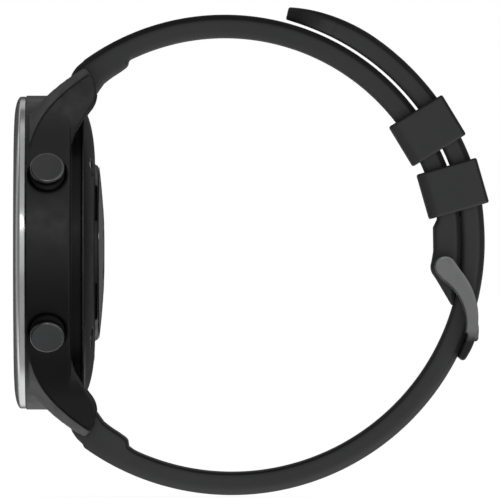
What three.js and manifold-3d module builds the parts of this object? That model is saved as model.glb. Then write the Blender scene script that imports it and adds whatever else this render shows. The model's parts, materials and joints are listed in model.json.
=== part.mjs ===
// GPS running watch: a round case on a closed two-piece strap, in millimetres.
// Frame: origin at the centre of the cover glass's outer face. -X points out of the dial, +Z towards
// 12 o'clock, -Y towards the buttons at 2 and 4 o'clock. The strap loop lies at +X.
import * as THREE from "three";
import { mergeVertices } from "three/addons/utils/BufferGeometryUtils.js";
import Module from "manifold-3d";

const wasm = await Module();
wasm.setup();

// ---- Driving dimensions -------------------------------------------------------------------------
const CASE_R = 22.95; // case radius
const CASE_FRONT = 1.75; // X of the case's front rim, under the bezel
const CASE_REAR = 8.33; // X where the case side ends and the neck begins
const CASE_BORE_R = 21.1; // inside of the case wall
const SHOULDER_X = 7.3; // front face of the shoulder that carries the neck
const NECK_R = 20.2; // neck between case and rear cover
const NECK_BORE_R = 18.9;
const NECK_REAR = 9.95;
const COVER_R = 21.0;
const COVER_FRONT = 10.0;
const COVER_CREST = 11.8; // X of the rear cover's flat centre
const COVER_FLAT_R = 12.9;
const GLASS_R = 18.98;
const GLASS_T = 1.05;
const BEZEL_R = 22.8;
const BEZEL_BACK = 1.7;
const BEZEL_BAND = 1.0; // X where the bezel's straight side band starts
const BEZEL_BORE_R = 19.1;
const DISPLAY_R = 17.8;
const DISPLAY_BACK = 2.2;

const LUG_GAP = 11.15; // half the distance between the lugs' inner faces
const BAR_X = 10.3; // spring bar axis
const BAR_Z = 24.6;
const BAR_HOLE_R = 0.65;
const BAR_HOLE_END = 12.9; // |Y| of the blind hole's end

const BUTTON_X = 5.0;
const BUTTON_TILT = THREE.MathUtils.degToRad(30); // above and below 3 o'clock
const BUTTON_CAP_R = 2.5;
const BUTTON_FACE = 24.9; // distance of the cap's face from the dial axis
const BUTTON_POCKET_R = 3.0;
const BUTTON_POCKET_FLOOR = 21.75;
const STEM_R = 1.1;

const SCREW_R = 17.4; // rear screws' distance from the dial axis
const SCREW_ANGLES = [45, 135, 225, 315];
const CONTACT_PLACES = [[-2.6, -15.0], [2.6, -15.0]]; // (Y, Z) of the charging contacts
const SENSOR_RING_R = 12.93;
const SENSOR_BASE = 11.84; // X of the sensor ring's step on the rear cover
const SENSOR_TOP = 12.3;
const SENSOR_SLOTS = [[21, 50], [130, 159], [201, 230], [310, 339]]; // degrees from +Y
const WINDOW_R = 12.45;
const WINDOW_CREST = 13.22; // X the window's curve would reach on the dial axis
const WINDOW_DROP = 0.77; // fall of the window's curve from there to its rim
const WINDOW_FLAT_R = 3;

// The two strap halves follow two circles in the XZ plane.
const BUCKLE_ARC = { x: 30.75, z: -0.2, inner: 31.6, outer: 34.98 };
const TIP_ARC = { x: 31.8, z: 1.53, inner: 33.62, outer: 36.9 };
const OVERLAP_INNER = 35.28; // the tip half lies on the buckle half, round BUCKLE_ARC's centre
const OVERLAP_OUTER = 38.5;
const STRAP_ROOT_HALF = 10.9; // half width between the lugs
const STRAP_HALF = 10.0; // half width from the taper to the buckle
const STRAP_NOSE_R = 2.2; // rounded end that turns between the lugs
const TIP_END_ANGLE = 75.0;
const THINNING_FROM = 54; // the free end grows thinner past this angle
const TIP_THINNING = 1.2;
const TIP_ROOT_INNER = -116.6; // angles where the tip half's faces run into its root
const TIP_ROOT_OUTER = -125.8;

const PIN = { x: 62.9, z: -2.1 }; // buckle pin
const PIN_R = 0.8;
const FRAME_ARC = { x: 57.1, z: -9.5, r: 10.64 }; // outer curve of the buckle frame
const FRAME_IN = 10.3; // inner and outer faces of the frame's arms
const FRAME_OUT = 12.0;
const HOLE_PITCH = 12.2; // degrees of TIP_ARC between strap holes
const HOLE_FIRST = -13.95; // the hole in use
const HOLES_BELOW = -3; // the holes count from this one, below the one in use,
const HOLES_ABOVE = 5; // to this one, above it
const HOLE_HALF_LENGTH = 4.8; // degrees
const HOLE_HALF_WIDTH = 1.45;

const KEEPER_ANGLES = { keeper_sliding: 31.3, keeper_fixed: 16.0 };
const KEEPER_HALF_LENGTH = 3.4;
const KEEPER_SECTION = { inner: 30.12, holeInner: 31.35, holeOuter: 38.6, outer: 39.25 };
const KEEPER_HALF = 11.1;
const KEEPER_HOLE_HALF = 10.15;

const WIDE = 12; // half width past every strap piece, for cuts right across it

const FINE = 64; // facets round the large visible rings
const PLAIN = 36;
const SMALL = 16;

// ---- Materials ----------------------------------------------------------------------------------
const finish = (color, roughness, metalness) =>
  new THREE.MeshStandardMaterial({ color, roughness, metalness });
const MATERIALS = {
  case_polymer: finish(0x26272a, 0.55, 0),
  polished_steel: finish(0xb9bcc0, 0.15, 1),
  cover_glass: finish(0x0b0c0e, 0.05, 0),
  button_metal: finish(0x3c3d40, 0.4, 0.6),
  buckle_metal: finish(0x6b6c6e, 0.45, 0.7),
  strap_rubber: finish(0x2c2d2f, 0.8, 0),
  seal_rubber: finish(0x151515, 0.85, 0),
  bar_steel: finish(0x8e9093, 0.3, 1),
  frame_plastic: finish(0x17181a, 0.6, 0),
  circuit_board: finish(0x16402c, 0.6, 0),
  shield_metal: finish(0xb4b6b8, 0.4, 1),
  battery_foil: finish(0x9a9da2, 0.45, 0.4),
  contact_gold: finish(0xd8b25a, 0.3, 1),
  flex_film: finish(0x8a4b1c, 0.5, 0),
  sensor_glass: finish(0x0d0d10, 0.08, 0),
  display_stack: finish(0x101114, 0.2, 0),
};

// ---- Solids from three.js geometry --------------------------------------------------------------
// A closed three.js geometry as a manifold solid with its faces pointing out.
function solid(geometry) {
  const bare = geometry.index ? geometry.toNonIndexed() : geometry.clone();
  bare.deleteAttribute("normal");
  bare.deleteAttribute("uv");
  const merged = mergeVertices(bare, 1e-4);
  const build = (triVerts) =>
    new wasm.Manifold(
      new wasm.Mesh({
        numProp: 3,
        vertProperties: new Float32Array(merged.attributes.position.array),
        triVerts,
      }),
    );
  const triVerts = new Uint32Array(merged.index.array);
  const made = build(triVerts);
  if (made.volume() >= 0) {
    return made;
  }
  for (let i = 0; i < triVerts.length; i += 3) {
    [triVerts[i + 1], triVerts[i + 2]] = [triVerts[i + 2], triVerts[i + 1]];
  }
  return build(triVerts);
}

function geometryOf(manifold) {
  const m = manifold.getMesh();
  const position = new Float32Array(m.numVert * 3);
  for (let i = 0; i < m.numVert; i++) {
    position.set(m.vertProperties.subarray(i * m.numProp, i * m.numProp + 3), i * 3);
  }
  const geometry = new THREE.BufferGeometry()
    .setAttribute("position", new THREE.BufferAttribute(position, 3))
    .setIndex(new THREE.BufferAttribute(new Uint32Array(m.triVerts), 1));
  geometry.computeVertexNormals();
  return geometry;
}

const v2 = (x, y) => new THREE.Vector2(x, y);
const rad = THREE.MathUtils.degToRad;
const polar = (arc, radius, degrees) =>
  v2(arc.x + radius * Math.cos(rad(degrees)), arc.z + radius * Math.sin(rad(degrees)));

// A point list [[radius, X], ...] turned about the dial axis.
function turned(profile, segments = PLAIN) {
  const points = profile.map(([r, x]) => v2(r, x));
  return solid(new THREE.LatheGeometry(points, segments).rotateZ(-Math.PI / 2));
}
// A ring with a closed profile.
const turnedRing = (profile, segments) => turned([...profile, profile[0]], segments);
const disc = (r, x0, x1, segments) =>
  turned([[0, x0], [r, x0], [r, x1], [0, x1]], segments);
const tube = (r0, r1, x0, x1, segments) =>
  turnedRing([[r0, x0], [r1, x0], [r1, x1], [r0, x1]], segments);

const shapeOf = (points) => new THREE.Shape(points);
const flatExtrude = (shape, depth, curveSegments = 12) =>
  new THREE.ExtrudeGeometry(shape, { depth, bevelEnabled: false, curveSegments });
// A side outline in (X, Z), extruded from y0 to y1.
const sidePlate = (shape, y0, y1) =>
  solid(flatExtrude(shape, y1 - y0).rotateX(Math.PI / 2).translate(0, y1, 0));
// A front outline in (Y, Z), extruded from x0 to x1.
const TO_FRONT = new THREE.Matrix4().set(0, 0, 1, 0, 1, 0, 0, 0, 0, 1, 0, 0, 0, 0, 0, 1);
const frontPlate = (shape, x0, x1, curveSegments) =>
  solid(flatExtrude(shape, x1 - x0, curveSegments).applyMatrix4(TO_FRONT).translate(x0, 0, 0));
const box = (x0, x1, y0, y1, z0, z1) =>
  solid(
    new THREE.BoxGeometry(x1 - x0, y1 - y0, z1 - z0).translate(
      (x0 + x1) / 2,
      (y0 + y1) / 2,
      (z0 + z1) / 2,
    ),
  );
// A rod along Y.
const rodY = (x, z, r, y0, y1, segments = SMALL) =>
  solid(new THREE.CylinderGeometry(r, r, y1 - y0, segments).translate(x, (y0 + y1) / 2, z));
// A rod along X.
const rodX = ([y, z], r, x0, x1, segments = SMALL) =>
  solid(
    new THREE.CylinderGeometry(r, r, x1 - x0, segments)
      .rotateZ(-Math.PI / 2)
      .translate((x0 + x1) / 2, y, z),
  );
const ringX = (r, section, x, around = PLAIN) =>
  solid(new THREE.TorusGeometry(r, section, 6, around).rotateY(Math.PI / 2).translate(x, 0, 0));
const union = (first, ...others) => others.reduce((all, one) => all.add(one), first);
const cut = (first, ...others) => others.reduce((all, one) => all.subtract(one), first);

// ---- Buttons' own frame: local +Y runs outwards from the dial axis ------------------------------
const BUTTON_TURNS = { upper: Math.PI - BUTTON_TILT, lower: Math.PI + BUTTON_TILT };
const atButton = (geometry, side) =>
  solid(geometry.rotateX(BUTTON_TURNS[side]).translate(BUTTON_X, 0, 0));
const buttonRod = (r, h0, h1, side, segments = 24) =>
  atButton(
    new THREE.CylinderGeometry(r, r, h1 - h0, segments).translate(0, (h0 + h1) / 2, 0),
    side,
  );
const buttonBlock = (width, height, h0, h1, side) =>
  atButton(
    new THREE.BoxGeometry(width, h1 - h0, height).translate(0, (h0 + h1) / 2, 0),
    side,
  );
const SIDES = ["upper", "lower"];

// ---- Case ---------------------------------------------------------------------------------------
const screwPlaces = SCREW_ANGLES.map((a) => [SCREW_R * Math.cos(rad(a)), SCREW_R * Math.sin(rad(a))]);

// Half the front outline's lug, right of the slot, from the tip down into the case's circle.
function lugOutline(ySign, zSign) {
  const side = (y, z) => v2(ySign * y, zSign * z);
  const flare = new THREE.QuadraticBezierCurve(v2(14.75, 21.5), v2(15.0, 18.07), v2(18.08, 14.13));
  const points = [side(LUG_GAP, 18.0), side(LUG_GAP, 29.6), side(13.6, 29.6)];
  points.push(...flare.getPoints(6).map((p) => side(p.x, p.y)), side(13.0, 14.13));
  return shapeOf(points);
}

function caseBody() {
  const reach = 12.2; // X past the lugs' rearmost point
  const plan = union(
    disc(CASE_R, CASE_FRONT, reach, FINE),
    ...[-1, 1].flatMap((y) =>
      [-1, 1].map((z) => frontPlate(lugOutline(y, z), CASE_FRONT, reach)),
    ),
  );
  // The lugs' front faces lie on a flared surface round the dial axis.
  const flared = turned(
    [
      [0, CASE_FRONT],
      [CASE_R - 0.12, CASE_FRONT],
      [CASE_R + 0.01, CASE_FRONT + 0.12],
      [CASE_R + 0.01, 2.3],
      [25.5, 4.83],
      [29.3, 10.55],
      [29.9, reach],
      [0, reach],
    ],
    FINE,
  );
  // Side outline: the case's rear edge runs out into the rounded lug ends.
  const lugRear = new THREE.SplineCurve([
    v2(CASE_REAR, 14.4),
    v2(8.9, 17.0),
    v2(9.72, 18.5),
    v2(10.65, 20.15),
    v2(11.5, 21.3),
    v2(11.95, 22.4),
    v2(12.05, 23.6),
    v2(11.7, 25.2),
    v2(11.0, 26.4),
    v2(10.45, 26.95),
    v2(10.1, 27.6),
  ]).getPoints(18);
  const upperHalf = [...lugRear, v2(9.4, 29.8), v2(0, 29.8)];
  const lowerHalf = upperHalf.map((p) => v2(p.x, -p.y)).reverse();
  const sideOutline = sidePlate(shapeOf([...upperHalf, ...lowerHalf]), -25, 25);

  let body = plan.intersect(flared).intersect(sideOutline);
  body = cut(
    body,
    disc(COVER_R + 0.35, CASE_REAR, reach + 1, FINE), // room round the rear cover
    box(CASE_REAR, reach + 1, -LUG_GAP, LUG_GAP, -30, 30),
    box(CASE_REAR, reach + 1, 15.2, 30, -30, 30),
    box(CASE_REAR, reach + 1, -30, -15.2, -30, 30),
    disc(CASE_BORE_R, CASE_FRONT - 1, SHOULDER_X, FINE),
    disc(NECK_BORE_R, SHOULDER_X - 1, reach, FINE),
  );
  body = union(
    body,
    tube(NECK_BORE_R, NECK_R, SHOULDER_X, NECK_REAR, FINE),
    ...screwPlaces.map((place) => rodX(place, 1.75, SHOULDER_X - 0.3, NECK_REAR)),
    ...SIDES.map((side) => buttonRod(2.0, 19.35, 21.6, side)),
  );
  const sealGroove = tube(19.15, 19.95, 9.25, NECK_REAR + 1, FINE);
  return cut(
    body,
    sealGroove,
    ...screwPlaces.map((place) => rodX(place, 0.72, SHOULDER_X + 0.1, NECK_REAR + 1)),
    ...SIDES.flatMap((side) => [
      buttonRod(BUTTON_POCKET_R, BUTTON_POCKET_FLOOR, 27, side, 32),
      buttonRod(STEM_R + 0.15, 18, 24, side, 24),
      buttonRod(1.85, 19.95, 21.4, side, 24),
    ]),
    ...[-1, 1].flatMap((z) =>
      [-1, 1].map((y) => {
        const ends = [y * (LUG_GAP - 1), y * BAR_HOLE_END].sort((a, b) => a - b);
        return rodY(BAR_X, z * BAR_Z, BAR_HOLE_R, ...ends, 16);
      }),
    ),
  );
}

// ---- Front stack --------------------------------------------------------------------------------
function bezelRing() {
  const shoulder = new THREE.EllipseCurve(BEZEL_BORE_R, BEZEL_BAND, BEZEL_R - BEZEL_BORE_R,
    BEZEL_BAND - 0.02, -Math.PI / 2, 0).getPoints(6);
  return turnedRing(
    [
      ...shoulder.map((p) => [p.x, p.y]),
      [BEZEL_R, BEZEL_BACK],
      [20.95, BEZEL_BACK],
      [20.95, 2.4],
      [20.2, 2.4],
      [20.2, BEZEL_BACK],
      [17.95, BEZEL_BACK],
      [17.95, 1.2],
      [BEZEL_BORE_R, 1.2],
    ],
    FINE,
  );
}

const lensGlass = () =>
  turned([[0, 0], [GLASS_R - 0.15, 0], [GLASS_R, 0.15], [GLASS_R, GLASS_T], [0, GLASS_T]], FINE);
const lensSeal = () => tube(18.05, 18.9, GLASS_T + 0.02, GLASS_T + 0.13);
const displayPanel = () => disc(DISPLAY_R, GLASS_T + 0.03, DISPLAY_BACK);

// A ring sector in the front plane, between two angles in degrees.
function sector(r0, r1, from, to) {
  const shape = new THREE.Shape();
  shape.absarc(0, 0, r1, rad(from), rad(to), false);
  shape.absarc(0, 0, r0, rad(to), rad(from), true);
  return shape;
}
const antennaRing = () => frontPlate(sector(18.6, 20.0, -60, 240), 2.5, 2.9, 24);

// ---- Inside the case ----------------------------------------------------------------------------
const FLEX_SLOT = box(2, 6, -4.6, 4.6, -18.1, -15.9);
const switchRoom = (width) => SIDES.map((side) => buttonBlock(8, width, 15.8, 22, side));

function innerFrame() {
  return cut(
    union(disc(19.0, 3.05, 3.75), tube(18.3, 19.0, 3.05, 6.8)),
    ...switchRoom(7),
    FLEX_SLOT,
  );
}
function mainBoard() {
  return cut(disc(17.9, 4.0, 4.6), ...switchRoom(5.5), FLEX_SLOT);
}
const boardShield = () => box(4.65, 5.7, -1, 12, 0.5, 9.8);
const batteryPack = () => {
  const half = { y: 11, z: 10, corner: 1.5 };
  const outline = new THREE.Shape();
  for (const [sy, sz, start] of [[1, 1, 0], [-1, 1, 90], [-1, -1, 180], [1, -1, 270]]) {
    const y = sy * (half.y - half.corner);
    const z = sz * (half.z - half.corner);
    outline.absarc(y, z, half.corner, rad(start), rad(start + 90), false);
  }
  return frontPlate(outline, 5.9, 9.2, 5);
};

const MOTOR = { z: -14.2, r: 3.5, front: 4.9, rear: 7.6 };
const motorCan = () => {
  const axis = [0, MOTOR.z];
  const can = rodX(axis, MOTOR.r, MOTOR.front, MOTOR.rear, 24);
  const hollow = rodX(axis, MOTOR.r - 0.25, MOTOR.front - 1, MOTOR.rear - 0.25, 24);
  const shaft = rodX(axis, 0.35, MOTOR.front + 0.2, MOTOR.rear - 0.1, 12);
  return can.subtract(hollow).add(shaft);
};
function motorWeight() {
  const half = sector(0.6, 2.9, 185, 355);
  const hub = new THREE.Shape();
  hub.absarc(0, 0, 0.95, 0, 2 * Math.PI, false);
  const hole = new THREE.Path();
  hole.absarc(0, 0, 0.5, 0, 2 * Math.PI, true);
  hub.holes.push(hole);
  const x0 = MOTOR.front + 0.35;
  const x1 = MOTOR.rear - 0.6;
  return union(frontPlate(half, x0, x1, 12), frontPlate(hub, x0, x1, 12));
}

// A thin ribbon that follows a polyline in (X, Z).
function ribbon(points, thickness, halfWidth) {
  const t = thickness / 2;
  const sides = [-t, t].map((offset) =>
    points.map((p, i) => {
      const a = points[Math.max(i - 1, 0)];
      const b = points[Math.min(i + 1, points.length - 1)];
      const along = v2(b[0] - a[0], b[1] - a[1]).normalize();
      return v2(p[0] - along.y * offset, p[1] + along.x * offset);
    }),
  );
  return sidePlate(shapeOf([...sides[0], ...sides[1].reverse()]), -halfWidth, halfWidth);
}
const displayFlex = () => ribbon([[2.4, -13.6], [2.5, -16.2], [3.0, -16.7], [4.9, -16.7]], 0.2, 4);
const sensorFlex = () =>
  ribbon([[4.75, 13.2], [4.95, 11.0], [5.3, 10.7], [9.2, 10.7], [9.5, 10.3], [9.5, 6.6], [10.0, 6.0],
    [10.75, 6.0]], 0.2, 2.5);

// ---- Rear cover and sensor ----------------------------------------------------------------------
function rearCover() {
  const depth = COVER_CREST - COVER_FRONT;
  const dome = [];
  for (let i = 0; i <= 6; i++) {
    const u = Math.sin(((i / 6) * Math.PI) / 2);
    dome.push([COVER_FLAT_R + (COVER_R - COVER_FLAT_R) * u,
      COVER_FRONT + depth * Math.pow(1 - u * u, 0.6)]);
  }
  const plate = turnedRing(
    [[10.5, 10.6], [10.5, COVER_CREST], ...dome, [16.0, COVER_FRONT], [15.8, 10.6]],
    FINE,
  );
  return cut(
    plate,
    ...screwPlaces.map((place) => rodX(place, 0.78, 9, 12)),
    ...screwPlaces.map((place) => rodX(place, 1.4, 10.7, 12.5)),
    ...CONTACT_PLACES.map((place) => rodX(place, 1.2, 9, 12.5)),
  );
}
const chargeContact = (place) => rodX(place, 1.1, 10.3, 11.74);
const rearSeal = () => ringX(19.55, 0.32, 9.6, PLAIN);

function rearScrew(place) {
  const head = rodX(place, 1.25, 10.75, 11.25);
  const thread = rodX(place, 0.62, 7.6, 10.8, 16);
  const socket = rodX(place, 0.55, 10.9, 11.9, 6);
  return head.add(thread).subtract(socket);
}

function sensorRing() {
  const ring = turnedRing(
    [
      [9.1, COVER_FRONT],
      [10.35, COVER_FRONT],
      [10.35, SENSOR_BASE],
      [SENSOR_RING_R, SENSOR_BASE],
      [12.62, SENSOR_TOP],
      [9.1, SENSOR_TOP],
    ],
    FINE,
  );
  const slot = ([from, to]) => frontPlate(sector(12.2, 13.6, from, to), 11.94, 12.18, 8);
  return cut(ring, ...SENSOR_SLOTS.map(slot));
}
function sensorWindow() {
  const curve = (r) => WINDOW_CREST - WINDOW_DROP * (r / 12.49) ** 2;
  const dome = [];
  for (let i = 0; i <= 4; i++) {
    const r = WINDOW_R - (i / 4) * (WINDOW_R - WINDOW_FLAT_R);
    dome.push([r, curve(r)]);
  }
  const base = SENSOR_TOP + 0.02;
  return turned([[0, base], [WINDOW_R, base], ...dome, [0, curve(WINDOW_FLAT_R)]], FINE);
}
const sensorBoard = () => disc(8.9, 10.9, 11.5);
const sensorLed = () => box(11.52, 12.0, -1.3, 1.3, -1.3, 1.3);
const photodiode = (z) => box(11.52, 11.95, -1.4, 1.4, z - 1.2, z + 1.2);

// ---- Buttons ------------------------------------------------------------------------------------
// These are built about local Y, and their group turns them.
const buttonLathe = (profile, segments) =>
  solid(new THREE.LatheGeometry(profile.map(([r, h]) => v2(r, h)), segments));
const buttonCap = () =>
  buttonLathe(
    [
      [0, 18.3],
      [STEM_R, 18.3],
      [STEM_R, 18.78],
      [0.85, 18.78],
      [0.85, 19.22],
      [STEM_R, 19.22],
      [STEM_R, 22.4],
      [BUTTON_CAP_R, 22.4],
      [BUTTON_CAP_R, BUTTON_FACE - 0.3],
      [BUTTON_CAP_R - 0.3, BUTTON_FACE],
      [0, BUTTON_FACE],
    ],
    28,
  );
const buttonSeal = () =>
  solid(new THREE.TorusGeometry(1.47, 0.28, 6, 16).rotateX(Math.PI / 2).translate(0, 20.9, 0));
const buttonClip = () =>
  solid(flatExtrude(sector(0.95, 2.0, -60, 240), 0.32, 12).rotateX(Math.PI / 2).translate(0, 19.16, 0));
const buttonSwitch = () =>
  union(
    solid(new THREE.BoxGeometry(3.2, 1.2, 3.2).translate(0, 16.9, 0)),
    solid(new THREE.CylinderGeometry(0.8, 0.8, 0.4, 16).translate(0, 17.5, 0)),
  );

// ---- Spring bars: built at the upper lug, mirrored to the lower one ------------------------------
const LEVER_DIRECTION = v2(0.72, -0.694); // towards the strap's inner face
const LEVER_Y = 7.9;
const PLUNGER_INNER = 7.2;
const PLUNGER_OUTER = 12.2;
const LEVER_ANGLE = 90 + THREE.MathUtils.radToDeg(Math.asin(-LEVER_DIRECTION.y));
const leverRod = (r, length, y) =>
  solid(
    new THREE.CylinderGeometry(r, r, length, 12)
      .rotateX(Math.PI / 2)
      .translate(0, 0, length / 2)
      .rotateY(rad(LEVER_ANGLE))
      .translate(0, y, 0),
  );
// The upper bar sits in its lug holes. The lower bar's plungers are drawn in, clear of the lugs.
const BAR_SHIFTS = { upper: 0, lower: 1.25 };
function barTube() {
  const bore = rodY(0, 0, 0.56, -11, 11, 16);
  const slot = box(-0.5, 0.5, -8.4, -6.1, 0, 2).rotate([0, LEVER_ANGLE, 0]);
  return cut(rodY(0, 0, 0.85, -9.9, 9.9, 16), bore, slot);
}
function barPlunger(sign, shift) {
  const ends = [sign * (PLUNGER_INNER - shift), sign * (PLUNGER_OUTER - shift)];
  return rodY(0, 0, 0.47, Math.min(...ends), Math.max(...ends), 16);
}
const leverPlunger = (shift) => barPlunger(-1, shift).add(leverRod(0.36, 1.95, shift - LEVER_Y));
// The spring is as long as the room between the plungers when both are drawn in.
function barSpring() {
  const reach = PLUNGER_INNER - BAR_SHIFTS.lower - 0.1;
  const turns = 7;
  const steps = turns * 7;
  const points = [];
  for (let i = 0; i <= steps; i++) {
    const a = (i / 7) * 2 * Math.PI;
    points.push(new THREE.Vector3(0.34 * Math.cos(a), -reach + (2 * reach * i) / steps,
      0.34 * Math.sin(a)));
  }
  const wire = new THREE.Shape();
  wire.absarc(0, 0, 0.1, 0, 2 * Math.PI, false);
  return solid(
    new THREE.ExtrudeGeometry(wire, {
      steps,
      curveSegments: 4,
      bevelEnabled: false,
      extrudePath: new THREE.CatmullRomCurve3(points),
    }),
  );
}

// ---- Strap --------------------------------------------------------------------------------------
const arcPoints = (arc, radius, from, to, count) =>
  Array.from({ length: count + 1 }, (_, i) => polar(arc, radius, from + ((to - from) * i) / count));

// The root's outline from the inner step round the nose to the outer face, for the half at +Z.
function rootOutline() {
  const nose = { x: BAR_X, z: BAR_Z };
  return [
    v2(16.7, 27.95),
    v2(16.3, 26.95),
    v2(14.6, 25.9),
    v2(13.2, 24.85),
    ...arcPoints(nose, STRAP_NOSE_R, -35, -205, 14),
    v2(8.55, 26.15),
    v2(9.2, 27.1),
  ];
}
const ROOT_START_X = 10.1; // where the outer arc takes over from the nose

// Plan view: full width between the lugs, then a straight taper.
function strapPlan() {
  const points = [v2(5, STRAP_ROOT_HALF), v2(13.5, STRAP_ROOT_HALF), v2(30, STRAP_HALF), v2(75, STRAP_HALF)];
  const outline = [...points, ...points.map((p) => v2(p.x, -p.y)).reverse()];
  return solid(flatExtrude(shapeOf(outline), 100).translate(0, 0, -50));
}
const strapPlate = (outline) => sidePlate(shapeOf(outline), -WIDE, WIDE).intersect(strapPlan());

// Where the lever of the quick-release bar shows on the strap's inner face.
const leverPocket = () =>
  box(-0.75, 0.75, -9.4, -5.6, 0, 4)
    .rotate([0, LEVER_ANGLE, 0])
    .translate([BAR_X, 0, BAR_Z]);

function buckleStrap() {
  const a = BUCKLE_ARC;
  const outerStart = 180 - THREE.MathUtils.radToDeg(Math.acos((a.x - ROOT_START_X) / a.outer));
  // The last stretch lies just inside the tip half.
  const under = (angle) => tipPoint(false, angle).sub(polar({ x: 0, z: 0 }, 0.12, angle));
  const outline = [
    ...rootOutline(),
    ...arcPoints(a, a.outer, outerStart, 26, 34),
    ...[20, 16, 12, 8, 4, 0, -4, -8, -12, -16.2].map(under),
    v2(61.75, -3.95),
    ...arcPoints(PIN, 2.0, 212, 160, 4),
    v2(61.3, 0.2),
    v2(61.25, 3.7),
    v2(61.85, 4.9),
    ...arcPoints(a, a.inner, 9.4, 115, 36),
  ];
  return cut(
    strapPlate(outline),
    rodY(BAR_X, BAR_Z, 1.0, -WIDE, WIDE),
    rodY(PIN.x, PIN.z, PIN_R + 0.15, -WIDE, WIDE),
    box(59, 67, -1.7, 1.7, -12, -0.1),
    leverPocket(),
  );
}

// Inner and outer radii of the tip half, as points, by angle about TIP_ARC.
function tipPoint(outer, angle) {
  const low = polar(TIP_ARC, outer ? TIP_ARC.outer : TIP_ARC.inner, angle);
  const high = polar(BUCKLE_ARC, outer ? OVERLAP_OUTER : OVERLAP_INNER, angle + 0.5);
  const t = THREE.MathUtils.smoothstep(angle, -2, 22);
  const point = low.lerp(high, t);
  if (!outer || angle < THINNING_FROM) {
    return point;
  }
  const thin = TIP_THINNING * ((angle - THINNING_FROM) / (TIP_END_ANGLE - THINNING_FROM)) ** 2;
  return point.sub(v2(Math.cos(rad(angle)), Math.sin(rad(angle))).multiplyScalar(thin));
}

function tipStrap() {
  const count = 60;
  const side = (outer, from, to) =>
    Array.from({ length: count + 1 }, (_, i) => tipPoint(outer, from + ((to - from) * i) / count));
  const root = rootOutline().map((p) => v2(p.x, -p.y)).reverse();
  const outline = [
    ...root,
    ...side(false, TIP_ROOT_INNER, TIP_END_ANGLE),
    ...side(true, TIP_END_ANGLE, TIP_ROOT_OUTER),
  ];
  const holes = [];
  for (let k = HOLES_BELOW; k <= HOLES_ABOVE; k++) {
    holes.push(strapHole(HOLE_FIRST + k * HOLE_PITCH));
  }
  return cut(
    strapPlate(outline),
    rodY(BAR_X, -BAR_Z, 1.0, -WIDE, WIDE),
    leverPocket().mirror([0, 0, 1]),
    tipRounding(),
    ...holes,
  );
}

// The free end is rounded in plan. This is what the rounding takes away: a block round the last
// stretch, less an elliptical column.
function tipRounding() {
  const reach = 7.5;
  const end = tipPoint(false, TIP_END_ANGLE);
  const column = solid(
    new THREE.CylinderGeometry(1, 1, 14, 64)
      .rotateX(Math.PI / 2)
      .scale(reach + 0.3, STRAP_HALF + 0.03, 1)
      .translate(-reach, 0, 0),
  );
  return box(-reach, 2, -12, 12, -6, 6)
    .subtract(column)
    .rotate([0, -90 - TIP_END_ANGLE, 0])
    .translate([end.x, 0, end.y]);
}

// A pill-shaped hole through the tip half at an angle about TIP_ARC.
function strapHole(angle) {
  const half = rad(HOLE_HALF_LENGTH) * TIP_ARC.outer;
  const w = HOLE_HALF_WIDTH;
  const pill = new THREE.Shape();
  pill.absarc(half - w, 0, w, -Math.PI / 2, Math.PI / 2, false);
  pill.absarc(-(half - w), 0, w, Math.PI / 2, 1.5 * Math.PI, false);
  const p = tipPoint(false, angle);
  // Extruded along +Z, then its length laid along the strap and its axis along the strap's normal.
  const hole = flatExtrude(pill, 8, 6).translate(0, 0, -2);
  hole.rotateY(rad(90 - angle));
  return solid(hole.translate(p.x, 0, p.y));
}

// ---- Buckle and keepers -------------------------------------------------------------------------
function buckleFrame() {
  const a = FRAME_ARC;
  const bandInner = (t) => 8.95 - 1.3 * Math.pow(t, 1.3); // t: 0 at the crossbar, 1 at the pin
  const inner = Array.from({ length: 15 }, (_, i) =>
    polar(a, bandInner(i / 14), -12 + (46 + 12) * (i / 14)),
  );
  const crossbarInner = arcPoints(TIP_ARC, 37.05, -26.9, -20.5, 5);
  const outline = shapeOf([
    ...arcPoints(a, a.r, 57, -35, 20),
    v2(65.35, -15.72),
    ...crossbarInner,
    ...inner,
    ...arcPoints(PIN, 1.48, 215, 95, 8),
  ]);
  const full = sidePlate(outline, -FRAME_OUT, FRAME_OUT);
  const window = box(55, 72, -FRAME_IN, FRAME_IN, -11.6, 5);
  const notch = box(66.75, 70, -1.35, 1.35, -17, -10);
  return cut(full, window, notch, rodY(PIN.x, PIN.z, PIN_R + 0.02, -11.4, 11.4));
}
const bucklePin = () => rodY(PIN.x, PIN.z, PIN_R, -11.35, 11.35);

function buckleTongue() {
  const path = new THREE.SplineCurve([
    v2(63.75, -3.3),
    v2(64.65, -5.1),
    v2(65.75, -6.75),
    v2(66.85, -8.7),
    v2(67.38, -10.7),
    v2(67.36, -12.7),
  ]);
  const count = 18;
  const sides = [[], []];
  for (let i = 0; i <= count; i++) {
    const p = path.getPoint(i / count);
    const along = path.getTangent(i / count);
    const half = 0.5 - 0.1 * (i / count);
    sides[0].push(v2(p.x - along.y * half, p.y + along.x * half));
    sides[1].push(v2(p.x + along.y * half, p.y - along.x * half));
  }
  const prong = sidePlate(shapeOf([...sides[0], ...sides[1].reverse()]), -0.95, 0.95);
  return cut(
    union(prong, rodY(PIN.x, PIN.z, 1.5, -1.3, 1.3, 24)),
    rodY(PIN.x, PIN.z, PIN_R + 0.12, -3, 3),
  );
}

function keeper(angle) {
  const k = KEEPER_SECTION;
  const h = KEEPER_HALF_LENGTH;
  const outside = box(k.inner, k.outer, -KEEPER_HALF, KEEPER_HALF, -h, h);
  const hole = box(k.holeInner, k.holeOuter, -KEEPER_HOLE_HALF, KEEPER_HOLE_HALF, -h - 1, h + 1);
  return outside.subtract(hole).rotate([0, -angle, 0]).translate([BUCKLE_ARC.x, 0, BUCKLE_ARC.z]);
}

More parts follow.
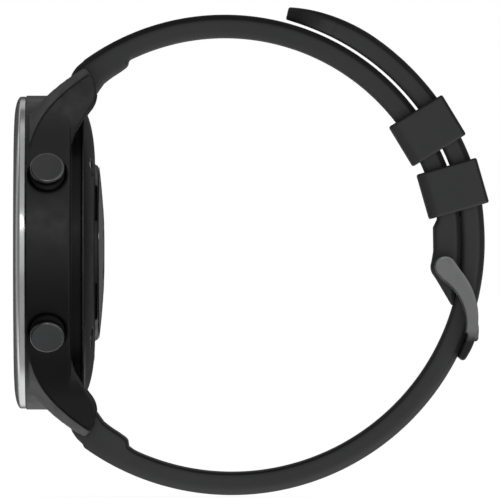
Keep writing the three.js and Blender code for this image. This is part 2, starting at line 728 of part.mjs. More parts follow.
// ---- Assembly -----------------------------------------------------------------------------------
const watch = new THREE.Group();
function place(name, manifold, material, parent = watch) {
  const mesh = new THREE.Mesh(geometryOf(manifold), MATERIALS[material]);
  mesh.name = name;
  parent.add(mesh);
  return mesh;
}

place("case_body", caseBody(), "case_polymer");
place("bezel_ring", bezelRing(), "polished_steel");
place("lens_glass", lensGlass(), "cover_glass");
place("lens_seal", lensSeal(), "seal_rubber");
place("display_panel", displayPanel(), "display_stack");
place("display_flex", displayFlex(), "flex_film");
place("antenna_ring", antennaRing(), "contact_gold");
place("inner_frame", innerFrame(), "frame_plastic");
place("main_board", mainBoard(), "circuit_board");
place("board_shield", boardShield(), "shield_metal");
place("battery", batteryPack(), "battery_foil");
place("motor_can", motorCan(), "shield_metal");
place("sensor_flex", sensorFlex(), "flex_film");
place("rear_seal", rearSeal(), "seal_rubber");
place("rear_cover", rearCover(), "case_polymer");
place("sensor_ring", sensorRing(), "frame_plastic");
place("sensor_window", sensorWindow(), "sensor_glass");
place("sensor_board", sensorBoard(), "circuit_board");
place("sensor_led", sensorLed(), "contact_gold");
place("photodiode_upper", photodiode(5), "frame_plastic");
place("photodiode_lower", photodiode(-5), "frame_plastic");
screwPlaces.forEach((at, i) => {
  place(`rear_screw_${i + 1}`, rearScrew(at), "bar_steel");
});
CONTACT_PLACES.forEach((at, i) => {
  place(`charge_contact_${i + 1}`, chargeContact(at), "contact_gold");
});

const weightGroup = new THREE.Group();
weightGroup.position.z = MOTOR.z;
watch.add(weightGroup);
place("motor_weight", motorWeight(), "bar_steel", weightGroup);

for (const side of SIDES) {
  const group = new THREE.Group();
  group.position.x = BUTTON_X;
  group.rotation.x = BUTTON_TURNS[side];
  watch.add(group);
  place(`button_${side}`, buttonCap(), "button_metal", group);
  place(`button_seal_${side}`, buttonSeal(), "seal_rubber", group);
  place(`button_clip_${side}`, buttonClip(), "bar_steel", group);
  place(`button_switch_${side}`, buttonSwitch(), "frame_plastic", group);
}

for (const [end, shift] of Object.entries(BAR_SHIFTS)) {
  const group = new THREE.Group();
  const up = end === "upper" ? 1 : -1;
  group.position.set(BAR_X, 0, up * BAR_Z);
  group.scale.z = up;
  watch.add(group);
  place(`${end}_bar_tube`, barTube(), "bar_steel", group);
  place(`${end}_bar_plunger_left`, barPlunger(1, shift), "bar_steel", group);
  place(`${end}_bar_plunger_right`, leverPlunger(shift), "bar_steel", group);
  place(`${end}_bar_spring`, barSpring(), "bar_steel", group);
}

place("buckle_strap", buckleStrap(), "strap_rubber");
place("tip_strap", tipStrap(), "strap_rubber");
place("buckle_frame", buckleFrame(), "buckle_metal");
place("buckle_pin", bucklePin(), "bar_steel");
place("buckle_tongue", buckleTongue(), "buckle_metal");
for (const [name, angle] of Object.entries(KEEPER_ANGLES)) {
  place(name, keeper(angle), "strap_rubber");
}

export default watch;
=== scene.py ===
"""Fine surfaces, materials and studio for the GPS running watch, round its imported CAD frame.

Fields and profiles are in millimetres in the row frame: -X out of the dial, +Z to 12 o'clock,
-Y to the buttons. A field is a signed distance, negative inside the material.
"""

import json
import math

import bmesh
import bpy
import numpy as np
from mathutils import Matrix, Vector

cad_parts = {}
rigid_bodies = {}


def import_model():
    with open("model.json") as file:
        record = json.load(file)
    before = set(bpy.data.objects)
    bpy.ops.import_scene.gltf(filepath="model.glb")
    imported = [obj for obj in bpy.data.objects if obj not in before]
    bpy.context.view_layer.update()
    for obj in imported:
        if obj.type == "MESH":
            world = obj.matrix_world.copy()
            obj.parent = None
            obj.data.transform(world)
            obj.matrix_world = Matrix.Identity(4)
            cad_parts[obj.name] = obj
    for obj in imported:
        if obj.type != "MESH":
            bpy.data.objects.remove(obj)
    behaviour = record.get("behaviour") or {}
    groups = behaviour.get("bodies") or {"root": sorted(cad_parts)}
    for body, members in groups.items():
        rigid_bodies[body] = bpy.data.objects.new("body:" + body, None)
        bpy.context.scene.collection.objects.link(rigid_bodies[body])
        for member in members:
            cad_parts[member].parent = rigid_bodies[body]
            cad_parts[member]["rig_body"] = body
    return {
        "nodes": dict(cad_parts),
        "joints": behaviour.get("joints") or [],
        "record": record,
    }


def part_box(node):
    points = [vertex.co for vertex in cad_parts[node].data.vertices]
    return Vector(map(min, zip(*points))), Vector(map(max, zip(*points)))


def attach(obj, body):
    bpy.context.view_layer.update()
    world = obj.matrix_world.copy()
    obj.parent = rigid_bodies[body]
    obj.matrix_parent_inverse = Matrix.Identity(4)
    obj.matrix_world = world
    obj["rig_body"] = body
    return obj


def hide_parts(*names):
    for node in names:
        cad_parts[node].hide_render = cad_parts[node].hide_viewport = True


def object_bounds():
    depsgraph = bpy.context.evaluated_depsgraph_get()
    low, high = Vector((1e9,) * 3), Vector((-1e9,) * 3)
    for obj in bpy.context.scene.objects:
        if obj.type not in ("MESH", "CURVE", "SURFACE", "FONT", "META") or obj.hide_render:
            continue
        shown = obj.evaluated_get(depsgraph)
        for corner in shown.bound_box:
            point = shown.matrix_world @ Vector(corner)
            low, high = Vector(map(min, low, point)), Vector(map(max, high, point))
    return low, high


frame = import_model()
cad_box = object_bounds()

MM = 0.001
JOINTS = {j["name"]: j for j in frame["joints"]}


def node_box(node):
    """Lowest and highest corner of a CAD node, in millimetres."""
    low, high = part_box(node)
    return low / MM, high / MM


def pivot(joint):
    x, _, z = JOINTS[joint]["pos_m"]
    return x / MM, z / MM


# ---- Sizes, from the frame where it holds them ----
CASE_LOW, CASE_HIGH = node_box("case_body")
CASE_R = CASE_HIGH.y
CASE_FRONT = CASE_LOW.x
CASE_REAR = 8.33  # X where the case side ends and the recessed neck starts
NECK_R, NECK_BORE_R, NECK_END = 20.2, 18.9, 10.05
BORE_R, BORE_END = 21.1, 7.3
LUG_GAP = 11.15  # half the space between a pair of lugs
LUG_TIP, LUG_TIP_SIDE, LUG_FOOT = 29.6, 13.6, 12.5
BAR = pivot("strap_swing")
PIN = pivot("buckle_pivot")
BUCKLE_ARC = pivot("sliding_keeper_slide")  # centre of the buckle half's arc
BUCKLE_INNER, BUCKLE_OUTER = 31.6, 34.9
TIP_ARC = (31.8, 1.53)  # centre of the tip half's arc
TIP_INNER, TIP_OUTER, TIP_MIDDLE = 33.62, 36.9, 35.3
THIN_START, TIP_END = 54.3, 76.45  # degrees about TIP_ARC
TIP_ROUND, TIP_HALF = 7.5, 10.03  # length of the tip's rounding, and half its width
OUTER_DEGREE, MIDDLE_DEGREE, INNER_DEGREE = 0.63, 0.58, 0.55  # a degree's length along the strap
OVERLAP_INNER, OVERLAP_OUTER = 35.42, 38.46  # about BUCKLE_ARC, where the tip lies on the other half
HOLE_PITCH, HOLE_FIRST, HOLE_HALF = 12.2, -13.95, 4.8  # degrees about TIP_ARC
HOLE_WIDTH = 1.45  # half of it
CROSSBAR_TOP = -12.1
PIN_HOLE_R = 0.92
BUTTON_R = 2.5
BUTTON_X = node_box("button_upper")[0].x + BUTTON_R
BUTTON_TILT = math.radians(30)
BUTTON_FACE = 24.9  # how far a button's face is from the case's axis
COVER_LOW, COVER_HIGH = node_box("rear_cover")
GLASS_HIGH = node_box("lens_glass")[1]
BEZEL_HIGH = node_box("bezel_ring")[1]
SENSOR_LOW, SENSOR_HIGH = node_box("sensor_window")


# ---- Field helpers ----
def both(a, b, r=0.0):
    """Inside a and b, with the shared edge rounded to radius r."""
    if r <= 0:
        return np.maximum(a, b)
    corner = np.hypot(np.maximum(a + r, 0), np.maximum(b + r, 0))
    return np.minimum(np.maximum(a, b), -r) + corner


def either(a, b, r=0.0):
    """Inside a or b, with a fillet of radius r where they meet."""
    return -both(-a, -b, r)


def less(a, b, r=0.0):
    """Inside a but not b."""
    return both(a, -b, r)


def chamfered(a, b, size, soft):
    """The edge between a and b cut off at 45 degrees, with soft corners."""
    return both(both(a, b, soft), (a + b + size) * math.sqrt(0.5), soft)


def outline(x, z, points):
    """Signed distance to a closed outline in the XZ plane."""
    shape = np.broadcast(x, z).shape
    nearest = np.full(shape, 1e9)
    inside = np.zeros(shape, bool)
    for (ax, az), (bx, bz) in zip(points, points[1:] + points[:1]):
        ex, ez = bx - ax, bz - az
        wx, wz = x - ax, z - az
        along = np.clip((wx * ex + wz * ez) / (ex * ex + ez * ez), 0, 1)
        nearest = np.minimum(nearest, (wx - ex * along) ** 2 + (wz - ez * along) ** 2)
        crosses = (az > z) != (bz > z)
        inside ^= crosses & (x < ex * (z - az) / (ez if ez else 1e-9) + ax)
    distance = np.sqrt(nearest)
    return np.where(inside, -distance, distance)


def smoothstep(low, high, value):
    t = np.clip((value - low) / (high - low), 0, 1)
    return t * t * (3 - 2 * t)


def arc(centre, radius, start, end, count):
    """Points round a centre, from one angle in degrees to another."""
    angles = np.radians(np.linspace(start, end, count))
    return [(centre[0] + radius * math.cos(a), centre[1] + radius * math.sin(a)) for a in angles]


def spline(points, count):
    """A Catmull-Rom curve through the points."""
    p = np.array([points[0], *points, points[-1]], float)
    made = []
    for t in np.linspace(0, len(points) - 1 - 1e-6, count):
        i = int(t)
        f = t - i
        a, b, c, d = p[i : i + 4]
        made.append(
            tuple(0.5 * (2 * b + (c - a) * f + (2 * a - 5 * b + 4 * c - d) * f**2
                         + (3 * b - a - 3 * c + d) * f**3))
        )
    return made


# ---- Meshes from fields ----
CORNERS = [(i, j, k) for i in (0, 1) for j in (0, 1) for k in (0, 1)]
BLOCK = 12  # grid points along a block's edge


def sampled(field, axes, step):
    """The field on a grid. Blocks far from its surface only get their centre's value."""
    starts = [np.arange(0, len(a), BLOCK) for a in axes]
    middles = [a[np.minimum(n + BLOCK // 2, len(a) - 1)] for a, n in zip(axes, starts)]
    coarse = np.broadcast_to(
        field(*np.meshgrid(*middles, indexing="ij", sparse=True)), [len(n) for n in starts]
    )
    reach = step * BLOCK * 1.25
    values = np.empty([len(a) for a in axes])
    for block in np.ndindex(coarse.shape):
        spans = [slice(n * BLOCK, (n + 1) * BLOCK) for n in block]
        if abs(coarse[block]) > reach:
            values[tuple(spans)] = coarse[block]
            continue
        points = [a[span] for a, span in zip(axes, spans)]
        values[tuple(spans)] = field(*np.meshgrid(*points, indexing="ij", sparse=True))
    return values


def cell_corner(array, c):
    """The array's values at corner c of every grid cell."""
    return array[tuple(slice(n, n + size - 1) for n, size in zip(c, array.shape))]


def crossings(values):
    """Which cells the surface crosses, and the mean of each one's edge crossings, in grid steps."""
    count = sum(cell_corner(values < 0, c).astype(np.int8) for c in CORNERS)
    crossed = (count > 0) & (count < 8)
    found = np.argwhere(crossed)
    at = {c: cell_corner(values, c)[crossed] for c in CORNERS}
    total = np.zeros((len(found), 3))
    hits = np.zeros(len(found))
    for a in CORNERS:
        for axis in range(3):
            if a[axis]:
                continue
            b = tuple(v + (n == axis) for n, v in enumerate(a))
            cross = (at[a] < 0) != (at[b] < 0)
            share = np.where(cross, at[a] / np.where(cross, at[a] - at[b], 1), 0)
            total += np.where(cross[:, None], a + np.outer(share, np.eye(3)[axis]), 0)
            hits += cross
    return crossed, found + total / hits[:, None]


def quads_between(inside, crossed):
    """A quad round every grid edge that the surface crosses, made of the four cells there."""
    index = np.full(crossed.shape, -1, np.int64)
    index[crossed] = np.arange(crossed.sum())
    quads = []
    for axis in range(3):
        u, v = (axis + 1) % 3, (axis + 2) % 3
        low_side = np.take(inside, range(inside.shape[axis] - 1), axis)
        high_side = np.take(inside, range(1, inside.shape[axis]), axis)
        edge = np.argwhere(low_side != high_side)
        edge = edge[(edge[:, u] > 0) & (edge[:, v] > 0)]
        edge = edge[(edge[:, u] < crossed.shape[u]) & (edge[:, v] < crossed.shape[v])]
        ring = []
        for du, dv in ((1, 1), (0, 1), (0, 0), (1, 0)):
            cell = edge.copy()
            cell[:, u] -= du
            cell[:, v] -= dv
            ring.append(index[tuple(cell.T)])
        ring = np.stack(ring, 1)
        flip = ~low_side[tuple(edge.T)]
        ring[flip] = ring[flip][:, ::-1]
        quads.append(ring)
    return np.concatenate(quads)


def settled(field, vertices, step):
    """The vertices after three moves along the field's slope onto its surface."""
    probe = step * 0.2
    shifts = probe * np.eye(3)
    for _ in range(3):
        rise = [field(*(vertices + d).T) - field(*(vertices - d).T) for d in shifts]
        slope = np.stack(rise, 1) / (2 * probe)
        move = -field(*vertices.T)[:, None] * slope / np.maximum((slope**2).sum(1), 0.05)[:, None]
        length = np.linalg.norm(move, axis=1, keepdims=True)
        vertices = vertices + move * np.minimum(1, 0.5 * step / np.maximum(length, 1e-9))
    return vertices


def net(field, low, high, step):
    """Vertices and quads of the field's zero surface, with one vertex in each cell it crosses."""
    axes = [np.arange(a, b + step, step) for a, b in zip(low, high)]
    values = sampled(field, axes, step)
    crossed, points = crossings(values)
    corner = np.array([a[0] for a in axes])
    return settled(field, corner + points * step, step), quads_between(values < 0, crossed)


def show(name, data):
    """A new object in the scene."""
    made = bpy.data.objects.new(name, data)
    bpy.context.scene.collection.objects.link(made)
    return made


def new_object(name, vertices, faces, sharp=None):
    """A smooth-shaded object from millimetre vertices. Edges over sharp degrees stay crisp."""
    mesh = bpy.data.meshes.new(name)
    if isinstance(faces, np.ndarray):
        faces = faces.tolist()
    mesh.from_pydata((np.asarray(vertices, float) * MM).tolist(), [], faces)
    mesh.polygons.foreach_set("use_smooth", [True] * len(mesh.polygons))
    if sharp is not None:
        mesh.set_sharp_from_angle(angle=math.radians(sharp))
    mesh.update()
    return show(name, mesh)


# ---- Turned pieces ----
def eased(points, radius, steps=4):
    """The profile with each inner corner rounded."""
    made = [points[0]]
    for a, b, c in zip(points, points[1:], points[2:]):
        a, b, c = np.array(a, float), np.array(b, float), np.array(c, float)
        back, on = a - b, c - b
        cut = min(radius, 0.45 * np.linalg.norm(back), 0.45 * np.linalg.norm(on))
        start = b + back / np.linalg.norm(back) * cut
        end = b + on / np.linalg.norm(on) * cut
        for t in np.linspace(0, 1, steps + 1):
            made.append(tuple((1 - t) ** 2 * start + 2 * t * (1 - t) * b + t**2 * end))
    made.append(points[-1])
    return made


def turned(name, profile, segments=192, place=None, carve=None, sharp=None):
    """(radius, height) points turned about the height axis, which is X unless place says otherwise.
    carve(angle, radius, height) gives a new radius."""
    vertices, faces, rows = [], [], []
    for r, h in profile:
        if r < 1e-6:
            rows.append([len(vertices)] * segments)
            vertices.append((h, 0, 0))
            continue
        rows.append(range(len(vertices), len(vertices) + segments))
        for i in range(segments):
            a = 2 * math.pi * i / segments
            radius = carve(a, r, h) if carve else r
            vertices.append((h, radius * math.cos(a), radius * math.sin(a)))
    for low, high in zip(rows, rows[1:]):
        for i in range(segments):
            j = (i + 1) % segments
            corners = [low[i], low[j], high[j], high[i]]
            face = list(dict.fromkeys(corners))
            if len(face) > 2:
                faces.append(face)
    if place is not None:
        vertices = [tuple(place @ Vector(v)) for v in vertices]
    made = new_object(name, vertices, faces, sharp)
    work = bmesh.new()
    work.from_mesh(made.data)
    bmesh.ops.recalc_face_normals(work, faces=work.faces)
    work.to_mesh(made.data)
    work.free()
    return made


# ---- Materials ----
class Nodes:
    """Short ways to add and link the nodes of a tree."""

    def __init__(self, tree):
        self.tree = tree

    def add(self, kind, **settings):
        node = self.tree.nodes.new(kind)
        for key, value in settings.items():
            setattr(node, key, value)
        return node

    def link(self, a, b):
        self.tree.links.new(a, b)

    def feed(self, socket, value):
        """Links an output to the socket, or sets the socket to a number or colour."""
        if isinstance(value, bpy.types.NodeSocket):
            self.link(value, socket)
        else:
            socket.default_value = value

    def split(self, vector):
        """The vector's x, y and z."""
        node = self.add("ShaderNodeSeparateXYZ")
        self.link(vector, node.inputs[0])
        return node.outputs

    def ramp(self, value, low, high, out_low=0.0, out_high=1.0):
        """value, limited to low..high and stretched to out_low..out_high."""
        node = self.add("ShaderNodeMapRange")
        node.inputs["From Min"].default_value = low
        node.inputs["From Max"].default_value = high
        node.inputs["To Min"].default_value = out_low
        node.inputs["To Max"].default_value = out_high
        self.link(value, node.inputs["Value"])
        return node.outputs["Result"]

    def math(self, operation, a, b):
        node = self.add("ShaderNodeMath", operation=operation)
        self.feed(node.inputs[0], a)
        self.feed(node.inputs[1], b)
        return node.outputs[0]

    def times(self, a, b):
        return self.math("MULTIPLY", a, b)

    def length(self, x, y):
        """The length of a flat vector."""
        return self.math("SQRT", self.math("ADD", self.times(x, x), self.times(y, y)), 0)

    def mix(self, factor, a, b, blend="MIX"):
        node = self.add("ShaderNodeMix", data_type="RGBA", blend_type=blend)
        self.feed(node.inputs["Factor"], factor)
        self.feed(node.inputs[6], a)
        self.feed(node.inputs[7], b)
        return node.outputs[2]


class Shader(Nodes):
    """A Principled material with object coordinates in millimetres."""

    def __init__(self, name, colour, roughness, metallic=0.0, specular=0.5):
        self.material = bpy.data.materials.new(name)
        self.material.use_nodes = True
        super().__init__(self.material.node_tree)
        self.bsdf = self.tree.nodes["Principled BSDF"]
        self.set("Base Color", (*colour, 1))
        self.set("Roughness", roughness)
        self.set("Metallic", metallic)
        self.set("Specular IOR Level", specular)
        coords = self.add("ShaderNodeTexCoord")
        scale = self.add("ShaderNodeVectorMath", operation="SCALE")
        scale.inputs["Scale"].default_value = 1 / MM
        self.link(coords.outputs["Object"], scale.inputs[0])
        self.place = scale.outputs[0]

    def set(self, name, value):
        """Feeds one of the Principled shader's inputs."""
        self.feed(self.bsdf.inputs[name], value)

    def noise(self, size, detail=3.0, stretch=None):
        """Noise with features of about size millimetres."""
        vector = self.place
        if stretch is not None:
            mapping = self.add("ShaderNodeMapping")
            mapping.inputs["Scale"].default_value = stretch
            self.link(vector, mapping.inputs["Vector"])
            vector = mapping.outputs[0]
        node = self.add("ShaderNodeTexNoise")
        node.inputs["Scale"].default_value = 1 / size
        node.inputs["Detail"].default_value = detail
        self.link(vector, node.inputs["Vector"])
        return node.outputs["Fac"]

    def tint(self, factor, colour):
        """Mixes colour over the present base colour by factor."""
        base = self.bsdf.inputs["Base Color"]
        present = base.links[0].from_socket if base.links else base.default_value
        self.link(self.mix(factor, present, (*colour, 1)), base)

    def bump(self, height, strength, distance):
        """Adds a relief of distance millimetres on top of any already there."""
        node = self.add("ShaderNodeBump")
        node.inputs["Strength"].default_value = strength
        node.inputs["Distance"].default_value = distance * MM
        self.link(height, node.inputs["Height"])
        normal = self.bsdf.inputs["Normal"]
        if normal.links:
            self.link(normal.links[0].from_socket, node.inputs["Normal"])
        self.link(node.outputs[0], normal)

    def edges(self, low=0.52, high=0.6):
        """0 on flat stretches, 1 on sharp convex edges."""
        geometry = self.add("ShaderNodeNewGeometry")
        return self.ramp(geometry.outputs["Pointiness"], low, high)


def case_polymer():
    """Black fine-grained polymer, with more sheen on the side than on the recessed neck, where the lower
    sheen is painted shade for the recess.
    """
    s = Shader("case_polymer", (0.0062, 0.0063, 0.0066), 0.42)
    grain = s.noise(0.09, 2)
    s.bump(grain, 0.35, 0.012)
    s.bump(s.noise(1.6, 3), 0.2, 0.01)
    s.tint(s.ramp(s.noise(3.5, 4), 0.35, 0.75, 0, 0.35), (0.008, 0.0081, 0.0084))
    s.tint(s.times(s.edges(), s.ramp(s.noise(0.6, 4), 0.4, 0.65)), (0.012, 0.012, 0.0123))
    x, y, z = s.split(s.place)
    off = s.length(y, z)
    # The recessed neck behind the case side: a slightly different grey and half the sheen, which paint the
    # shade of the recess.
    neck = s.times(s.ramp(x, CASE_REAR, CASE_REAR + 0.3), s.ramp(off, NECK_R + 0.5, NECK_R + 0.2))
    s.tint(neck, (0.009, 0.009, 0.009))
    s.set("Specular IOR Level", s.ramp(neck, 0, 1, 0.5, 0.25))
    smudge = s.ramp(s.noise(2.2, 5), 0.3, 0.7, 0.38, 0.5)
    s.set("Roughness", s.math("ADD", smudge, s.ramp(grain, 0, 1, -0.04, 0.06)))
    return s.material


def rear_polymer():
    """Smoother black polymer of the rear cover and sensor surround."""
    s = Shader("rear_polymer", (0.014, 0.0142, 0.015), 0.34)
    s.bump(s.noise(0.14, 2), 0.2, 0.006)
    s.tint(s.ramp(s.noise(5, 4), 0.4, 0.75, 0, 0.3), (0.018, 0.018, 0.0187))
    s.tint(s.times(s.edges(), s.ramp(s.noise(0.5, 4), 0.35, 0.6)), (0.035, 0.035, 0.035))
    s.set("Roughness", s.ramp(s.noise(3, 5), 0.3, 0.7, 0.28, 0.42))
    return s.material


def polished_steel():
    """Bright bezel with hairlines and a few fine scratches."""
    s = Shader("polished_steel", (0.78, 0.785, 0.795), 0.16, 0.52)
    hair = s.noise(0.35, 4, stretch=(14, 0.35, 0.35))
    s.bump(hair, 0.1, 0.004)
    scratch = s.ramp(s.noise(1.4, 6, stretch=(3, 1, 1)), 0.62, 0.72)
    s.tint(s.times(scratch, 0.25), (0.45, 0.45, 0.46))
    s.set("Roughness", s.math("ADD", s.ramp(hair, 0.3, 0.7, 0.1, 0.2), s.times(scratch, 0.12)))
    return s.material


def cover_glass():
    """Clear glass that barely bends light, with a coated, slightly smeared front."""
    s = Shader("cover_glass", (1, 1, 1), 0.03, 0.0)
    s.set("Transmission Weight", 1.0)
    s.set("IOR", 1.02)
    s.set("Coat Weight", 1.0)
    s.set("Coat IOR", 1.32)
    smear = s.ramp(s.noise(7, 5, stretch=(1, 1.6, 0.7)), 0.45, 0.75, 0.02, 0.06)
    s.set("Coat Roughness", smear)
    return s.material


def button_metal(side):
    """Dark satin steel: fine turning marks on the face, a smoother rim with a painted highlight, and a side
    painted black and dark grey as shade.
    """
    s = Shader(f"button_metal_{side}", (0.075, 0.076, 0.079), 0.38, 0.35)
    tilt = BUTTON_TILT if side == "upper" else -BUTTON_TILT
    mapping = s.add("ShaderNodeMapping", vector_type="TEXTURE")
    mapping.inputs["Location"].default_value = (BUTTON_X, 0, 0)
    mapping.inputs["Rotation"].default_value = (math.pi / 2 - tilt, 0, 0)
    s.link(s.place, mapping.inputs["Vector"])
    wave = s.add("ShaderNodeTexWave", wave_type="RINGS", rings_direction="Z")
    wave.inputs["Scale"].default_value = 1.6
    wave.inputs["Distortion"].default_value = 0.5
    wave.inputs["Detail"].default_value = 2
    s.link(mapping.outputs[0], wave.inputs["Vector"])
    x, y, up = s.split(mapping.outputs[0])
    off = s.length(x, y)
    # Mask of the rim. The rim is smoother and more metallic, and its bright tint below is a painted
    # highlight.
    rim = s.times(s.ramp(off, 2.12, 2.25), s.ramp(up, BUTTON_FACE - 0.4, BUTTON_FACE - 0.3))
    s.tint(s.ramp(s.noise(0.9, 4), 0.35, 0.7, 0, 0.3), (0.062, 0.063, 0.066))
    s.tint(s.times(rim, s.ramp(s.noise(0.5, 3), 0.3, 0.6, 0.6, 1)), (0.17, 0.171, 0.175))
    # Painted shade on the cap's side: black next to the rim, dark grey further down towards the pocket.
    s.tint(s.ramp(up, BUTTON_FACE - 0.34, BUTTON_FACE - 0.44), (0.004, 0.004, 0.0042))
    s.tint(s.ramp(up, BUTTON_FACE - 0.9, BUTTON_FACE - 1.5), (0.05, 0.05, 0.051))
    s.bump(wave.outputs["Fac"], 0.4, 0.003)
    s.bump(s.noise(0.06, 2), 0.12, 0.005)
    rough = s.ramp(s.noise(0.8, 4), 0.3, 0.7, 0.33, 0.42)
    s.set("Roughness", s.math("SUBTRACT", rough, s.times(rim, 0.17)))
    s.set("Metallic", s.ramp(rim, 0, 1, 0.35, 0.7))
    return s.material


def buckle_metal():
    """Satin steel, with painted shade making the crossbar darker."""
    s = Shader("buckle_metal", (0.3, 0.302, 0.307), 0.42, 0.85)
    s.bump(s.noise(0.11, 2), 0.3, 0.012)
    s.bump(s.noise(0.9, 3), 0.15, 0.01)
    s.tint(s.times(s.edges(), s.ramp(s.noise(0.5, 4), 0.35, 0.65)), (0.4, 0.4, 0.41))
    s.tint(s.ramp(s.noise(2.5, 5), 0.5, 0.8, 0, 0.35), (0.24, 0.24, 0.245))
    z = s.split(s.place)[2]
    # Painted shade: darker below the top of the crossbar.
    s.tint(s.ramp(z, CROSSBAR_TOP, CROSSBAR_TOP - 0.9, 0, 0.9), (0.07, 0.07, 0.072))
    s.set("Roughness", s.ramp(s.noise(0.7, 5), 0.3, 0.7, 0.36, 0.5))
    return s.material


def strap_rubber():
    """Matt rubber with a little dust. Its bevels carry painted shade, less where they face down or -X."""
    s = Shader("strap_rubber", (0.055, 0.0555, 0.057), 0.72, specular=0.12)
    s.set("Sheen Weight", 0.08)
    s.set("Sheen Roughness", 0.4)
    s.bump(s.noise(0.13, 3), 0.25, 0.012)
    s.bump(s.noise(1.8, 3), 0.15, 0.02)
    s.tint(s.ramp(s.noise(6, 4), 0.4, 0.75, 0, 0.4), (0.062, 0.0625, 0.064))
    # Painted shade on the bevels, set by which way the surface faces: less where it faces down or -X.
    x, y, z = s.split(s.add("ShaderNodeNewGeometry").outputs["Normal"])
    sideways = s.math("ABSOLUTE", y, 0)
    bevel_shade = s.times(s.ramp(sideways, 0.3, 0.6), s.ramp(sideways, 0.97, 0.82))
    upward = s.ramp(z, -0.4, -0.1, 0, 0.8)
    bevel_shade = s.times(bevel_shade, s.ramp(x, -0.5, -0.28, 0.12, 1))
    s.tint(s.times(bevel_shade, upward), (0.016, 0.016, 0.0165))
    dust = s.ramp(s.noise(0.22, 1), 0.71, 0.76)
    s.tint(s.times(dust, 0.12), (0.16, 0.16, 0.16))
    s.set("Roughness", s.ramp(s.noise(2.6, 5), 0.3, 0.7, 0.66, 0.8))
    return s.material


def sensor_glass():
    """Black coated dome over the sensors."""
    s = Shader("sensor_glass", (0.006, 0.006, 0.007), 0.07)
    s.set("Coat Weight", 1.0)
    s.set("Coat Roughness", 0.04)
    s.set("Roughness", s.ramp(s.noise(4, 4), 0.4, 0.75, 0.05, 0.16))
    s.bump(s.noise(0.3, 2), 0.04, 0.003)
    return s.material


def plain(name, colour, roughness, metallic, grain, relief, mottle):
    """A small inner piece: grain of relief millimetres, mottled colour and uneven gloss."""
    s = Shader(name, colour, roughness, metallic)
    s.bump(s.noise(grain, 3), 0.3, relief)
    s.tint(s.ramp(s.noise(grain * 14, 4), 0.4, 0.7, 0, mottle), tuple(c * 0.6 for c in colour))
    s.tint(s.times(s.edges(), 0.4), tuple(min(1, c * 1.6 + 0.03) for c in colour))
    s.set("Roughness", s.ramp(s.noise(grain * 9, 4), 0.3, 0.7, roughness * 0.85, min(1, roughness * 1.2)))
    return s.material


# Inner pieces: colour, roughness, metallic share, grain, relief and mottle.
PLAIN = {
    "seal_rubber": ((0.01, 0.01, 0.01), 0.6, 0, 0.1, 0.01, 0.4),
    "bar_steel": ((0.45, 0.45, 0.46), 0.3, 1, 0.05, 0.004, 0.3),
    "frame_plastic": ((0.012, 0.012, 0.013), 0.5, 0, 0.12, 0.01, 0.4),
    "circuit_board": ((0.015, 0.08, 0.04), 0.4, 0, 0.2, 0.01, 0.5),
    "shield_metal": ((0.5, 0.5, 0.51), 0.35, 1, 0.08, 0.005, 0.3),
    "battery_foil": ((0.5, 0.5, 0.52), 0.4, 0.8, 0.3, 0.03, 0.3),
    "contact_gold": ((0.72, 0.5, 0.2), 0.25, 1, 0.05, 0.003, 0.25),
    "flex_film": ((0.25, 0.1, 0.02), 0.35, 0, 0.15, 0.006, 0.4),
}
BUTTON_METAL = {side: button_metal(side) for side in ("upper", "lower")}
MATERIALS = {name: plain(name, *values) for name, values in PLAIN.items()}
MATERIALS["button_metal"] = BUTTON_METAL["upper"]
for made_of in (case_polymer, rear_polymer, polished_steel, cover_glass, buckle_metal, strap_rubber,
                sensor_glass):
    MATERIALS[made_of.__name__] = made_of()
SLOT_OF = {s["node"]: s["material_slot"] for s in frame["record"]["subparts"]}
for node_name, cad_object in frame["nodes"].items():
    cad_object.data.materials.clear()
    cad_object.data.materials.append(MATERIALS[SLOT_OF[node_name]])


def dress(piece, nodes, body=None, material=None):
    """piece stands for CAD nodes, takes their body and slot, and gets a material."""
    first = nodes[0] if nodes else None
    slot = SLOT_OF[first] if first else None
    piece.data.materials.clear()
    piece.data.materials.append(material or MATERIALS[slot])
    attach(piece, body or frame["nodes"][first]["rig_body"])
    if nodes:
        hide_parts(*nodes)


def model(name, node, field, step, grow=(0.4, 0.4, 0.4)):
    """A CAD node's piece from its field, looked for in the node's box and grow millimetres round it."""
    low, high = node_box(node)
    vertices, faces = net(field, low - Vector(grow), high + Vector(grow), step)
    dress(new_object(name, vertices, faces), [node])


# ---- Case ----
# The lugs' outer edge as (X, radius), and their rear edge as (X, distance from the middle).
FLARE = spline(
    [(CASE_FRONT, CASE_R - 0.3), (2.35, CASE_R + 0.05), (4.83, 25.45),
     (7.6, 27.55), (10.55, 29.3), (12.4, 29.95)],
    40,
)
FLARE_X = [p[0] for p in FLARE]
FLARE_R = [p[1] for p in FLARE]
LUG_REAR = spline(
    [(CASE_REAR, 14.4), (8.9, 17.0), (9.72, 18.5), (10.65, 20.15), (11.5, 21.3), (11.95, 22.4),
     (12.03, 23.6), (11.7, 25.2), (11.0, 26.4), (10.45, 26.95), (10.1, 27.6)],
    30,
) + [(9.4, 29.8), (-1, 29.8), (-1, -1), (CASE_REAR, -1)]


def button_space(x, y, z, side):
    """Height along a button's axis and distance from that axis."""
    sign = 1 if side == "upper" else -1
    c, s = math.cos(BUTTON_TILT), math.sin(BUTTON_TILT) * sign
    height = -y * c + z * s
    across = y * s + z * c
    return height, np.hypot(x - BUTTON_X, across)


